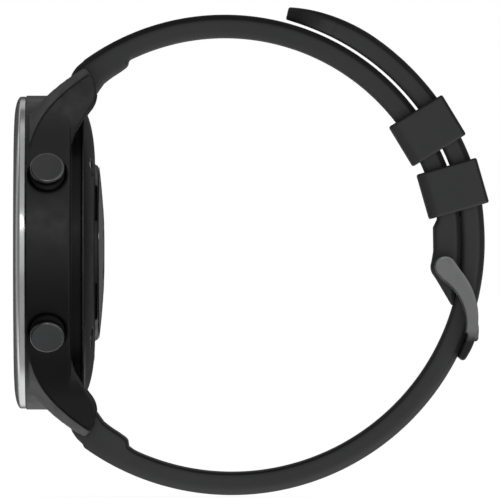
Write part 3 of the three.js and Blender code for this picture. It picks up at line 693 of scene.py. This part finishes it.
def case_field(x, y, z):
    r = np.hypot(y, z)
    height = np.abs(z)
    width = np.abs(y)
    side = LUG_TIP_SIDE + 0.142 * (LUG_TIP - height) + 0.042 * np.maximum(21.5 - height, 0) ** 2
    lug = both(LUG_GAP - width, width - side, 0.2)
    lug = both(lug, r - np.interp(x, FLARE_X, FLARE_R), 0.16)
    lug = both(lug, both(outline(x, height, LUG_REAR), CASE_FRONT - x), 0.3)
    lug = less(lug, both(15.3 - width, CASE_REAR - x), 0.3)
    lug = np.maximum(lug, LUG_FOOT - height)
    body = both(both(r - CASE_R, CASE_FRONT - x, 0.12), x - CASE_REAR, 0.3)
    shell = either(body, lug, 0.12)
    shell = less(shell, both(r - BORE_R - 0.25, CASE_REAR - x), 0.2)
    shell = less(shell, both(r - BORE_R, x - BORE_END))
    shell = less(shell, r - NECK_BORE_R)
    neck = both(both(r - NECK_R, NECK_BORE_R - r), both(BORE_END - 0.3 - x, x - NECK_END), 0.1)
    shell = either(shell, neck, 0.25)
    for side in ("upper", "lower"):
        up, off = button_space(x, y, z, side)
        pocket = both(off - BUTTON_R - 0.1, 21.75 - up)
        stem_hole = both(off - 1.25, 18 - up)
        shell = np.maximum(less(shell, pocket, 0.65), -stem_hole)
    bar_hole = np.hypot(x - BAR[0], height - BAR[1]) - 0.65
    return less(shell, both(bar_hole, width - 12.9), 0.1)


def make_bezel():
    """A rounded shoulder from the glass to a narrow straight band, and a foot inside the case."""
    rim = BEZEL_HIGH.y
    opening, band, rear = 19.1, 1.05, 1.7
    shoulder = [
        (opening + (rim - opening) * math.sin(a), band - (band - 0.03) * math.cos(a))
        for a in np.linspace(0, math.pi / 2, 26)
    ]
    ring = eased([(rim, band + 0.06), (rim, rear), (20.9, rear)], 0.04)
    foot = [(20.9, 2.35), (20.2, 2.35), (20.2, rear)]
    seat = [(18.0, rear), (18.0, 1.2), (opening, 1.2), (opening, 0.1)]
    profile = shoulder + ring + foot + seat + [shoulder[0]]
    dress(turned("bezel", profile, 288, sharp=35), ["bezel_ring"])


def make_glass():
    r = GLASS_HIGH.y
    edge = eased([(0, 0), (r, 0), (r, GLASS_HIGH.x), (0, GLASS_HIGH.x)], 0.16, 6)
    dress(turned("glass", edge, 256, sharp=50), ["lens_glass"])


# ---- Display under the glass ----
DIAL_X = node_box("display_panel")[0].x
TICK_END = 16.6
STEPS_RING = (13.3, 14.1)  # inner and outer radius
EFFORT_RING = (12.1, 12.7)
RING_START, RING_END = -140, 140  # degrees clockwise from 12 o'clock


def dial_material(name, colour, glow):
    """A lit figure on the display."""
    s = Shader(name, colour, 0.4)
    s.set("Emission Color", (*colour, 1))
    s.set("Emission Strength", glow)
    s.tint(s.ramp(s.noise(0.5, 3), 0.4, 0.7, 0, 0.2), tuple(c * 0.7 for c in colour))
    s.set("Roughness", s.ramp(s.noise(0.3, 2), 0.3, 0.7, 0.35, 0.5))
    return s.material


def dial_plate(name, outlines, depth, material):
    """Thin plates on the dial, as one piece, from (right, up) points as the wearer sees them."""
    vertices, faces = [], []
    for points in outlines:
        count = len(points)
        front = range(len(vertices), len(vertices) + count)
        vertices += [(DIAL_X - depth, -u, v) for u, v in points]
        vertices += [(DIAL_X + 0.02, -u, v) for u, v in points]
        faces += [list(front), [i + count for i in reversed(front)]]
        faces += [[a, b, b + count, a + count] for a, b in zip(front, [*front[1:], front[0]])]
    dress(new_object(name, vertices, faces, sharp=30), [], "case", material)


def ring_part(r0, r1, start, end, count):
    """Outline of a ring sector, angles clockwise from 12 o'clock in degrees."""
    angles = np.radians(np.linspace(start, end, count))
    outer = [(r1 * math.sin(a), r1 * math.cos(a)) for a in angles]
    inner = [(r0 * math.sin(a), r0 * math.cos(a)) for a in angles[::-1]]
    return outer + inner


def dial_number(text, size, right, up, material):
    """Digits on the dial, centred right and up of its middle as the wearer sees it."""
    curve = bpy.data.curves.new(f"dial_{text}", "FONT")
    curve.body = text
    curve.size = size * MM
    curve.align_x = "CENTER"
    curve.align_y = "CENTER"
    curve.extrude = 0.02 * MM
    holder = show(f"dial_text_{len(bpy.data.curves)}", curve)
    facing = Matrix(((0, 0, -1), (-1, 0, 0), (0, 1, 0))).to_4x4()
    holder.matrix_world = Matrix.Translation((DIAL_X * MM, -right * MM, up * MM)) @ facing
    bpy.context.view_layer.update()
    mesh = bpy.data.meshes.new_from_object(holder.evaluated_get(bpy.context.evaluated_depsgraph_get()))
    mesh.transform(holder.matrix_world)
    bpy.data.objects.remove(holder)
    dress(show(f"dial_number_{right:.0f}_{up:.0f}".replace("-", "m"), mesh), [], "case", material)


def tick(minute):
    """Outline of a minute mark, longer and wider at every fifth."""
    half, length = (0.75, 1.5) if minute % 5 == 0 else (0.3, 0.8)
    return ring_part(TICK_END - length, TICK_END, minute * 6 - half, minute * 6 + half, 3)


def make_display():
    black = Shader("dial_black", (0.004, 0.004, 0.005), 0.3, specular=0.2)
    black.set("Roughness", black.ramp(black.noise(0.6, 3), 0.3, 0.7, 0.25, 0.4))
    r = node_box("display_panel")[1].y
    panel = turned("display_face", eased([(0, DIAL_X), (r, DIAL_X), (r, 2.2), (0, 2.2)], 0.1), 192)
    dress(panel, ["display_panel"], material=black.material)
    white = dial_material("dial_white", (0.75, 0.78, 0.8), 0.35)
    green = dial_material("dial_green", (0.12, 0.62, 0.2), 0.4)
    orange = dial_material("dial_orange", (0.85, 0.3, 0.04), 0.4)
    dim = dial_material("dial_dim", (0.12, 0.125, 0.13), 0.15)
    dial_plate("dial_ticks", [tick(i) for i in range(60)], 0.02, white)
    for name, ring, end, count, depth, material in (
        ("track", STEPS_RING, RING_END, 90, 0.015, dim),
        ("steps", STEPS_RING, 62, 70, 0.025, green),
        ("effort", EFFORT_RING, -20, 50, 0.025, orange),
        ("effort_track", EFFORT_RING, RING_END, 90, 0.015, dim),
    ):
        dial_plate(f"dial_ring_{name}", [ring_part(*ring, RING_START, end, count)], depth, material)
    dial_number("10:09", 8.4, 0, 0.6, white)
    dial_number("128", 3.4, 0, -6.6, orange)
    dial_number("16", 3.0, 0, 6.9, green)


# ---- Back of the case ----
CONTACTS = [node_box(f"charge_contact_{i}") for i in (1, 2)]
SCREWS = [node_box(f"rear_screw_{i}") for i in (1, 2, 3, 4)]
COVER_FLAT_R, COVER_WALL_R, COVER_BORE_R = 12.9, 15.9, 10.5
COVER_FLOOR = 10.6  # X of the cover's inner face
SCREW_SHAFT_R, SCREW_HEAD_R, CONTACT_R = 0.62, 1.25, 1.1


def centre_yz(box):
    return (box[0].y + box[1].y) / 2, (box[0].z + box[1].z) / 2


def cover_field(x, y, z):
    r = np.hypot(y, z)
    u = np.maximum(r - COVER_FLAT_R, 0) / (COVER_HIGH.y - COVER_FLAT_R)
    v = np.maximum(x - COVER_LOW.x, 0) / (COVER_HIGH.x - COVER_LOW.x)
    dome = (u**2 + v ** (1 / 0.6) - 1) * 1.5
    inner = np.where(r < COVER_WALL_R, COVER_FLOOR, COVER_LOW.x) - x
    plate = both(both(dome, inner, 0.12), COVER_BORE_R - r, 0.1)
    for box in SCREWS:
        cy, cz = centre_yz(box)
        off = np.hypot(y - cy, z - cz)
        plate = less(plate, both(off - SCREW_HEAD_R - 0.15, COVER_FLOOR + 0.1 - x), 0.12)
        plate = np.maximum(plate, SCREW_SHAFT_R + 0.16 - off)
    for box in CONTACTS:
        cy, cz = centre_yz(box)
        plate = less(plate, np.hypot(y - cy, z - cz) - CONTACT_R - 0.1, 0.1)
    return plate


def at_place(y, z):
    return Matrix.Translation((0, y, z))


def hexagon(angle, radius, height):
    """Turns the socket's circle into six flats."""
    if radius > SCREW_SHAFT_R * 1.02:
        return radius
    return radius * 0.93 / math.cos((angle % (math.pi / 3)) - math.pi / 6)


def make_screw(number, box):
    socket, head, top, end = SCREW_SHAFT_R, SCREW_HEAD_R, box[1].x, box[0].x
    profile = eased([(0, top - 0.45), (socket, top - 0.45), (socket, top), (head, top),
                     (head, top - 0.5), (socket, top - 0.6), (socket, end), (0, end)], 0.07)
    piece = turned(f"rear_screw_piece_{number}", profile, 48, at_place(*centre_yz(box)), hexagon, 40)
    dress(piece, [f"rear_screw_{number}"])


def make_contact(number, box):
    r, top, end = CONTACT_R, box[1].x, box[0].x
    profile = [(r * math.sin(a), top - 0.24 * (1 - math.cos(a))) for a in np.linspace(0, 1.2, 10)]
    profile += eased([(r, top - 0.3), (r, end), (0, end)], 0.05)
    piece = turned(f"charge_pad_{number}", profile, 64, at_place(*centre_yz(box)), sharp=50)
    dress(piece, [f"charge_contact_{number}"])


def make_rear_cover():
    model("rear_shell", "rear_cover", cover_field, 0.22)
    for i, box in enumerate(SCREWS):
        make_screw(i + 1, box)
    for i, box in enumerate(CONTACTS):
        make_contact(i + 1, box)


SLOT_RANGES = [(21, 50), (130, 159), (201, 230), (310, 339)]  # degrees round the surround's wall
SLOT_LOW, SLOT_HIGH, SLOT_DEPTH, SLOT_WALL_R = 11.9, 12.2, 0.4, 12.55
DOME_FLAT_R = 3.0
DOME_DROP = 0.77 / 12.49**2  # the dome falls by this times the radius squared
EYE_R = 5.2  # radius of the circle that the sensor's outer windows are on


def slots(angle, radius, height):
    """Four narrow slots in the surround's wall."""
    degrees = math.degrees(angle)
    if radius <= SLOT_WALL_R or not SLOT_LOW < height < SLOT_HIGH:
        return radius
    cut = any(start < degrees < end for start, end in SLOT_RANGES)
    return radius - SLOT_DEPTH * cut


def make_sensor_surround():
    rim, top = node_box("sensor_ring")[1].yx
    foot, seat_r, bore_r = 11.84, 10.35, 9.1
    wall = [(rim, foot + 0.02), (rim - 0.04, 11.91), (rim - 0.06, 11.925), (rim - 0.22, 12.175)]
    lip = [(rim - 0.24, 12.19), (rim - 0.3, top - 0.06), (rim - 0.36, top), (bore_r, top)]
    profile = [(bore_r, top), (bore_r, 10.0), (seat_r, 10.0), (seat_r, foot), (rim, foot), *wall, *lip]
    dress(turned("sensor_surround", profile, 720, carve=slots, sharp=40), ["sensor_ring"])


def dome_height(radius):
    return SENSOR_HIGH.x - DOME_DROP * max(0, radius * radius - DOME_FLAT_R**2)


def make_sensor_dome():
    rim = SENSOR_HIGH.y
    dome = [(r, dome_height(r)) for r in np.linspace(DOME_FLAT_R, rim, 20)]
    edge = eased([dome[-1], (rim, SENSOR_LOW.x + 0.02), (0, SENSOR_LOW.x)], 0.05)
    profile = [(0, SENSOR_HIGH.x), *dome, *edge[1:]]
    dress(turned("sensor_dome", profile, 256, sharp=50), ["sensor_window"])


def eye_material(name, colour, size, mottle, shade, rough, rougher):
    """What shows through a sensor window, with faint clouds of size millimetres."""
    s = Shader(name, colour, rough)
    s.tint(s.ramp(s.noise(size, 2), 0.4, 0.7, 0, mottle), shade)
    s.set("Roughness", s.ramp(s.noise(size, 2), 0.3, 0.7, rough, rougher))
    return s.material


def make_eye(name, radius, degrees, r, material):
    """A thin round window on the dome."""
    y = radius * math.cos(math.radians(degrees))
    z = radius * math.sin(math.radians(degrees))
    axis = Vector((0, -z, y)) if radius else Vector((0, 0, 1))
    tilt = Matrix.Rotation(math.atan(2 * DOME_DROP * radius), 4, axis)
    place = at_place(y, z) @ Matrix.Translation((dome_height(radius), 0, 0)) @ tilt
    lens = [(0, 0.012), (r * 0.8, 0.012), (r, 0.004), (r, -0.05), (0, -0.05)]
    dress(turned(f"sensor_{name}", lens, 64, place, sharp=40), [], "case", material)


def make_sensor():
    make_sensor_surround()
    make_sensor_dome()
    lamp = eye_material("sensor_lamp", (0.02, 0.14, 0.05), 1.5, 0.25, (0.01, 0.06, 0.025), 0.15, 0.22)
    cell = eye_material("sensor_cell", (0.02, 0.021, 0.026), 2.0, 0.3, (0.024, 0.02, 0.03), 0.2, 0.26)
    make_eye("lamp_middle", 0, 0, 1.5, lamp)
    for n in range(3):
        make_eye(f"cell_{n}", EYE_R, 90 + 120 * n, 1.35, cell)
        make_eye(f"lamp_{n}", EYE_R, 30 + 120 * n, 0.8, lamp)


# ---- Buttons ----
def button_place(side):
    """Takes local X to the button's outward axis."""
    sign = 1 if side == "upper" else -1
    outward = Vector((0, -math.cos(BUTTON_TILT), sign * math.sin(BUTTON_TILT)))
    across = Vector((1, 0, 0))
    third = outward.cross(across)
    turn = Matrix((outward, across, third)).transposed().to_4x4()
    return Matrix.Translation((BUTTON_X, 0, 0)) @ turn


def make_buttons():
    """A grooved stem and a cap with a rounded rim and a slightly hollow face."""
    face, cap_foot, stem_r, groove_r = BUTTON_FACE, 22.4, 1.1, 0.85
    stem = eased([(0, 18.3), (stem_r, 18.3), (stem_r, 18.78), (groove_r, 18.78), (groove_r, 19.22),
                  (stem_r, 19.22), (stem_r, cap_foot), (BUTTON_R - 0.08, cap_foot)], 0.05, 2)
    cap = [(BUTTON_R, cap_foot), (BUTTON_R, face - 0.32)]
    rim = [
        (BUTTON_R - 0.34 * (1 - math.cos(a)), face - 0.32 + 0.3 * math.sin(a))
        for a in np.linspace(0, math.pi / 2, 9)
    ]
    top = [(r, face - 0.1 + 0.08 * (r / 2.1) ** 2) for r in np.linspace(2.05, 0, 10)]
    for side in ("upper", "lower"):
        piece = turned(f"button_piece_{side}", stem + cap + rim[1:] + top, 128, button_place(side), sharp=50)
        dress(piece, [f"button_{side}"], material=BUTTON_METAL[side])


# ---- Strap ----
def circle_from(centre, other, radius, angle):
    """Distance from centre, along an angle in radians, to a circle round other."""
    dx, dz = other[0] - centre[0], other[1] - centre[1]
    along = dx * np.cos(angle) + dz * np.sin(angle)
    return along + np.sqrt(radius**2 - dx * dx - dz * dz + along**2)


def tip_band(angle):
    """Inner and outer radius of the tip half about TIP_ARC, by angle in degrees."""
    turn = np.radians(angle)
    lap = smoothstep(3, 22, angle)
    inner = TIP_INNER + (circle_from(TIP_ARC, BUCKLE_ARC, OVERLAP_INNER, turn) - TIP_INNER) * lap
    outer = TIP_OUTER + (circle_from(TIP_ARC, BUCKLE_ARC, OVERLAP_OUTER, turn) - TIP_OUTER) * lap
    thin = 1.2 * (np.clip(angle - THIN_START, 0, None) / (TIP_END - THIN_START)) ** 2
    return inner, outer - thin


def polar(centre, x, z):
    return np.hypot(x - centre[0], z - centre[1]), np.degrees(np.arctan2(z - centre[1], x - centre[0]))


def strap_half_width(x):
    """A little wider at the case."""
    return np.interp(x, [13.5, 30], [10.9, 10.0])


# The strap's end at the upper lugs and its end at the buckle's pin, as (X, Z).
ROOT = (
    spline([(16.75, 28.3), (16.55, 27.3), (15.5, 26.45), (14.2, 25.6), (13.1, 24.75)], 16)
    + arc(BAR, 2.2, -35, -205, 30)
    + [(8.55, 26.15), (9.2, 27.1), (10.1, 27.95), (10.4, 30.2), (17.5, 34.2), (18.5, 30)]
)
PIN_END = (
    [(62.3, 6.2), (61.85, 4.9), (61.25, 3.7), (61.3, 0.2)]
    + arc(PIN, 2.0, 160, 212, 14)
    + [(61.75, -3.95), (64.05, -7.85), (66.5, -7.85), (67.5, 6.2)]
)


def strap_section(body, outer, side):
    """Full strap section: chamfered outer edges, softly rounded inner ones."""
    made = chamfered(outer, side, 0.9, 0.32)
    return both(made, chamfered(body, side, 0.45, 0.3), 0.25)


def bar_openings(x, y, z):
    """The spring bar's hole and the release lever's pocket, for the half at +Z."""
    off = np.hypot(x - BAR[0], z - BAR[1])
    along = (x - BAR[0]) * 0.72 - (z - BAR[1]) * 0.694
    across = (x - BAR[0]) * 0.694 + (z - BAR[1]) * 0.72
    pocket = both(np.abs(across) - 0.75, np.abs(y + 7.5) - 1.9, 0.3)
    return np.minimum(off - 1.0, both(pocket, np.abs(along - 2.5) - 2.5, 0.1))


def buckle_strap_field(x, y, z):
    """The upper half: on its own arc, limited by the tip half that lies on it."""
    radius, angle = polar(BUCKLE_ARC, x, z)
    tip_radius, tip_angle = polar(TIP_ARC, x, z)
    under = np.where((tip_angle < 70) & (tip_angle > -40), tip_radius - tip_band(tip_angle)[0] + 0.02, -9.0)
    outer = np.maximum(radius - BUCKLE_OUTER, under)
    band = np.maximum(BUCKLE_INNER - radius, np.maximum(9 - angle, angle - 122) * INNER_DEGREE)
    band = np.where(np.abs(angle) > 150, 9.0, band)
    body = either(band, outline(x, z, ROOT), 0.25)
    body = either(body, outline(x, z, PIN_END), 0.25)
    made = strap_section(body, outer, np.abs(y) - strap_half_width(x))
    tongue_slot = both(both(np.abs(y) - 1.7, z + 0.1, 0.3), 59 - x)
    made = less(made, tongue_slot, 0.15)
    made = np.maximum(made, PIN_HOLE_R + 0.03 - np.hypot(x - PIN[0], z - PIN[1]))
    return less(made, bar_openings(x, y, z), 0.12)


def tip_strap_field(x, y, z):
    """The lower half, with the holes and the rounded tip."""
    radius, angle = polar(TIP_ARC, x, z)
    inner, thick = tip_band(angle)
    outer = radius - thick
    from_end = (angle - TIP_END) * OUTER_DEGREE
    ends = np.maximum(from_end, (-118 - angle) * MIDDLE_DEGREE)
    band = np.where(angle > 150, 9.0, np.maximum(inner - radius, ends))
    body = either(band, outline(x, -z, ROOT), 0.25)
    outer = np.where((angle > 100) | (angle < -150), outline(x, -z, ROOT), outer)
    made = strap_section(body, outer, np.abs(y) - strap_half_width(x))
    rounding = (np.hypot(np.maximum(from_end + TIP_ROUND, 0) / (TIP_ROUND + 0.3), y / TIP_HALF) - 1) * 7
    made = both(made, rounding - 0.6 * np.maximum(-TIP_ROUND - from_end, 0), 0.5)
    straight = math.radians(HOLE_HALF) * TIP_MIDDLE - HOLE_WIDTH
    for k in range(-3, 6):
        along = np.abs(np.radians(angle - HOLE_FIRST - k * HOLE_PITCH)) * TIP_MIDDLE
        pill = np.hypot(np.maximum(along - straight, 0), y) - HOLE_WIDTH
        made = less(made, pill, 0.22)
    return less(made, bar_openings(x, y, -z), 0.12)


# ---- Buckle ----
FRAME_ARC = (57.1, -9.5)
FRAME_R = 10.64
FRAME_SIDE = node_box("buckle_frame")[1].y
ARM_INSIDE = 10.3
CROSSBAR = (
    arc(FRAME_ARC, FRAME_R, -8, -35.2, 14)
    + [(65.35, -15.72)]
    + arc(TIP_ARC, 36.95, -26.9, -20.3, 8)
)
ARM = (
    arc(FRAME_ARC, FRAME_R, 40, -14, 26)
    + [arc(FRAME_ARC, 8.95 - 1.3 * t**1.3, -14 + 60 * t, 0, 1)[0] for t in np.linspace(0, 1, 22)]
    + arc(PIN, 1.62, 215, 38, 24)
)


def buckle_field(x, y, z):
    """Two arms and a crossbar that is drawn in at its ends and notched for the tongue."""
    width = np.abs(y)
    flank = width - FRAME_SIDE + 0.075 * np.maximum(-11.3 - z, 0) ** 2
    arm = both(outline(x, z, ARM), ARM_INSIDE - width, 0.25)
    made = both(either(arm, outline(x, z, CROSSBAR), 0.6), flank, 0.25)
    notch = both(66.75 - x, both(width - 1.25, z + 10, 0.2), 0.2)
    return less(made, notch, 0.15)


TONGUE = spline(
    [(63.75, -3.3), (64.65, -5.1), (65.75, -6.75), (66.85, -8.7), (67.38, -10.7), (67.36, -12.5)], 26
)


def from_line(x, z, points):
    """Distance in the XZ plane from a line through the points."""
    nearest = np.full(np.broadcast(x, z).shape, 1e9)
    for (ax, az), (bx, bz) in zip(points, points[1:]):
        ex, ez = bx - ax, bz - az
        along = np.clip(((x - ax) * ex + (z - az) * ez) / (ex * ex + ez * ez), 0, 1)
        nearest = np.minimum(nearest, np.hypot(x - ax - ex * along, z - az - ez * along))
    return nearest


def tongue_field(x, y, z):
    prong = both(from_line(x, z, TONGUE) - 0.5, np.abs(y) - 0.95, 0.3)
    off = np.hypot(x - PIN[0], z - PIN[1])
    knuckle = both(off - 1.5, np.abs(y) - 1.3, 0.3)
    return less(either(prong, knuckle, 0.5), off - PIN_HOLE_R, 0.05)


# ---- Keepers ----
KEEPER_ANGLES = {"keeper_sliding": 31.3, "keeper_fixed": 16.0}  # degrees about BUCKLE_ARC
KEEPER_HALF = 3.4  # half its length along the strap


def keeper_field(x, y, z):
    """In the keeper's own frame: X away from the strap arc's centre, Z along the strap."""
    sag = 0.12 * (y / 10) ** 2
    outside = both(both(30.12 + sag * 0.5 - x, np.abs(y) - 11.1, 1.7), x - 39.25 + sag, 0.6)
    inside = both(both(x - 38.6, 31.35 - x, 0.3), np.abs(y) - 10.15, 0.3)
    return less(both(outside, np.abs(z) - KEEPER_HALF, 0.28), inside, 0.2)


def make_keepers():
    vertices, faces = net(keeper_field, (29.7, -11.5, -3.8), (39.7, 11.5, 3.8), 0.2)
    for node, degrees in KEEPER_ANGLES.items():
        c, s = math.cos(math.radians(degrees)), math.sin(math.radians(degrees))
        x = BUCKLE_ARC[0] + vertices[:, 0] * c - vertices[:, 2] * s
        z = BUCKLE_ARC[1] + vertices[:, 0] * s + vertices[:, 2] * c
        placed = np.stack([x, vertices[:, 1], z], 1)
        dress(new_object(f"{node}_piece", placed, faces), [node])


# ---- Studio ----
VIEW_CENTRE = Vector((0.03446, 0, 0.00038))
VIEW_WIDTH = 0.0731
LENS = 1600.0
SENSOR = 36.0
FLOOR_HALF = 12.0
FLOOR_DROP = 0.0004
KEY_PLACE, KEY_TARGET = Vector((0, -0.83, 0.34)), Vector((0.03, 0, 0))


def make_camera():
    data = bpy.data.cameras.new("camera")
    data.lens = LENS
    data.sensor_width = SENSOR
    data.clip_start = 0.01
    data.clip_end = 100
    camera = show("camera", data)
    distance = VIEW_WIDTH * LENS / SENSOR
    camera.location = VIEW_CENTRE - Vector((0, distance, 0))
    camera.rotation_euler = (math.pi / 2, 0, 0)
    bpy.context.scene.camera = camera


def make_key_light():
    data = bpy.data.lights.new("key_box", "AREA")
    data.shape = "RECTANGLE"
    data.size, data.size_y = 0.16, 0.12
    data.energy = 0.35
    light = show("key_box", data)
    light.location = KEY_PLACE
    light.rotation_euler = (KEY_TARGET - KEY_PLACE).to_track_quat("-Z", "Y").to_euler()


def make_floor():
    """A pale floor that glows a little. It is seen, but lights nothing and shows in no reflection."""
    mesh = bpy.data.meshes.new("floor")
    height = cad_box[0].z - FLOOR_DROP
    corners = [(FLOOR_HALF * x, FLOOR_HALF * y, height) for x, y in ((-1, -1), (1, -1), (1, 1), (-1, 1))]
    mesh.from_pydata(corners, [], [(0, 1, 2, 3)])
    floor = show("floor", mesh)
    s = Shader("floor_paint", (0.93, 0.93, 0.93), 0.9)
    s.set("Emission Color", (1, 1, 1, 1))
    s.set("Emission Strength", 0.9)
    s.tint(s.ramp(s.noise(60, 3), 0.4, 0.7, 0, 0.2), (0.9, 0.9, 0.9))
    mesh.materials.append(s.material)
    floor.visible_glossy = False
    floor.visible_diffuse = False


def levels(nodes, component, greys):
    """Smooth grey levels over a direction component, as (component, grey) pairs from -1 to 1."""
    ramp = nodes.add("ShaderNodeValToRGB")
    ramp.color_ramp.interpolation = "EASE"
    elements = ramp.color_ramp.elements
    while len(elements) < len(greys):
        elements.new(0.5)
    for element, (place, grey) in zip(elements, greys):
        element.position = (place + 1) / 2
        element.color = (grey, grey, grey, 1)
    nodes.link(nodes.ramp(component, -1, 1), ramp.inputs["Fac"])
    return ramp.outputs["Color"]


def mirror_light(nodes, dx, dy, dz):
    """What reflections see: a softbox above the lens with dark below it, and a white sweep behind."""
    box = levels(nodes, dz, [(-1, 0.1), (-0.42, 0.1), (-0.08, 0.5), (0.3, 0.75), (0.55, 0.5), (1, 0.5)])
    left = levels(nodes, dx, [(-1, 0.1), (-0.5, 0.1), (-0.15, 1), (1, 1)])
    front = nodes.mix(1, box, left, "MULTIPLY")
    flank = [(-1, 0.15), (-0.85, 0.42), (-0.67, 0.45), (-0.58, 0.05), (0, 0.05), (0.2, 0.1), (1, 0.1)]
    sweep = [(-1, 0.9), (-0.5, 0.9), (-0.2, 0), (0.3, 0), (0.55, 0.6), (0.68, 0.6), (0.77, 0.1), (0.86, 0.15),
             (0.96, 0.7)]
    back = nodes.mix(1, levels(nodes, dx, flank), levels(nodes, dz, sweep), "ADD")
    return nodes.mix(levels(nodes, dy, [(-1, 0), (0, 0), (0.35, 1), (1, 1)]), front, back)


def soft_light(nodes, dx, dy, dz):
    """Diffuse light, mostly up from the pale floor, from the front and from the +X side."""
    floor = levels(nodes, dz, [(-1, 1.3), (-0.4, 0.95), (0, 0.62), (0.4, 0.16), (1, 0.04)])
    side = levels(nodes, dx, [(-1, 0.2), (-0.5, 0.45), (0.1, 1.15), (1, 1.25)])
    front = levels(nodes, dy, [(-1, 1.35), (-0.2, 1.1), (0.3, 0.6), (1, 0.55)])
    return nodes.mix(1, nodes.mix(1, floor, side, "MULTIPLY"), front, "MULTIPLY")


def make_world():
    """White to the camera, with different light for reflections and for matt surfaces."""
    world = bpy.data.worlds.new("studio")
    world.use_nodes = True
    world.node_tree.nodes.clear()
    nodes = Nodes(world.node_tree)
    direction = nodes.split(nodes.add("ShaderNodeTexCoord").outputs["Generated"])
    ray = nodes.add("ShaderNodeLightPath").outputs
    seen = nodes.mix(ray["Is Glossy Ray"], soft_light(nodes, *direction), mirror_light(nodes, *direction))
    background = nodes.add("ShaderNodeBackground")
    nodes.link(nodes.mix(ray["Is Camera Ray"], seen, (1, 1, 1, 1)), background.inputs["Color"])
    out = nodes.add("ShaderNodeOutputWorld")
    nodes.link(background.outputs[0], out.inputs["Surface"])
    bpy.context.scene.world = world


bpy.context.scene.view_settings.view_transform = "Standard"
model("case_shell", "case_body", case_field, 0.21, (0.3, 0.3, 0.7))
make_bezel()
make_glass()
make_display()
make_rear_cover()
make_sensor()
make_buttons()
model("strap_buckle_half", "buckle_strap", buckle_strap_field, 0.26, (0.5, 0.5, 0.6))
model("strap_tip_half", "tip_strap", tip_strap_field, 0.26, (0.5, 0.5, 0.6))
model("buckle_frame_piece", "buckle_frame", buckle_field, 0.15)
model("buckle_tongue_piece", "buckle_tongue", tongue_field, 0.1)
make_keepers()
make_world()
make_floor()
make_key_light()
make_camera()
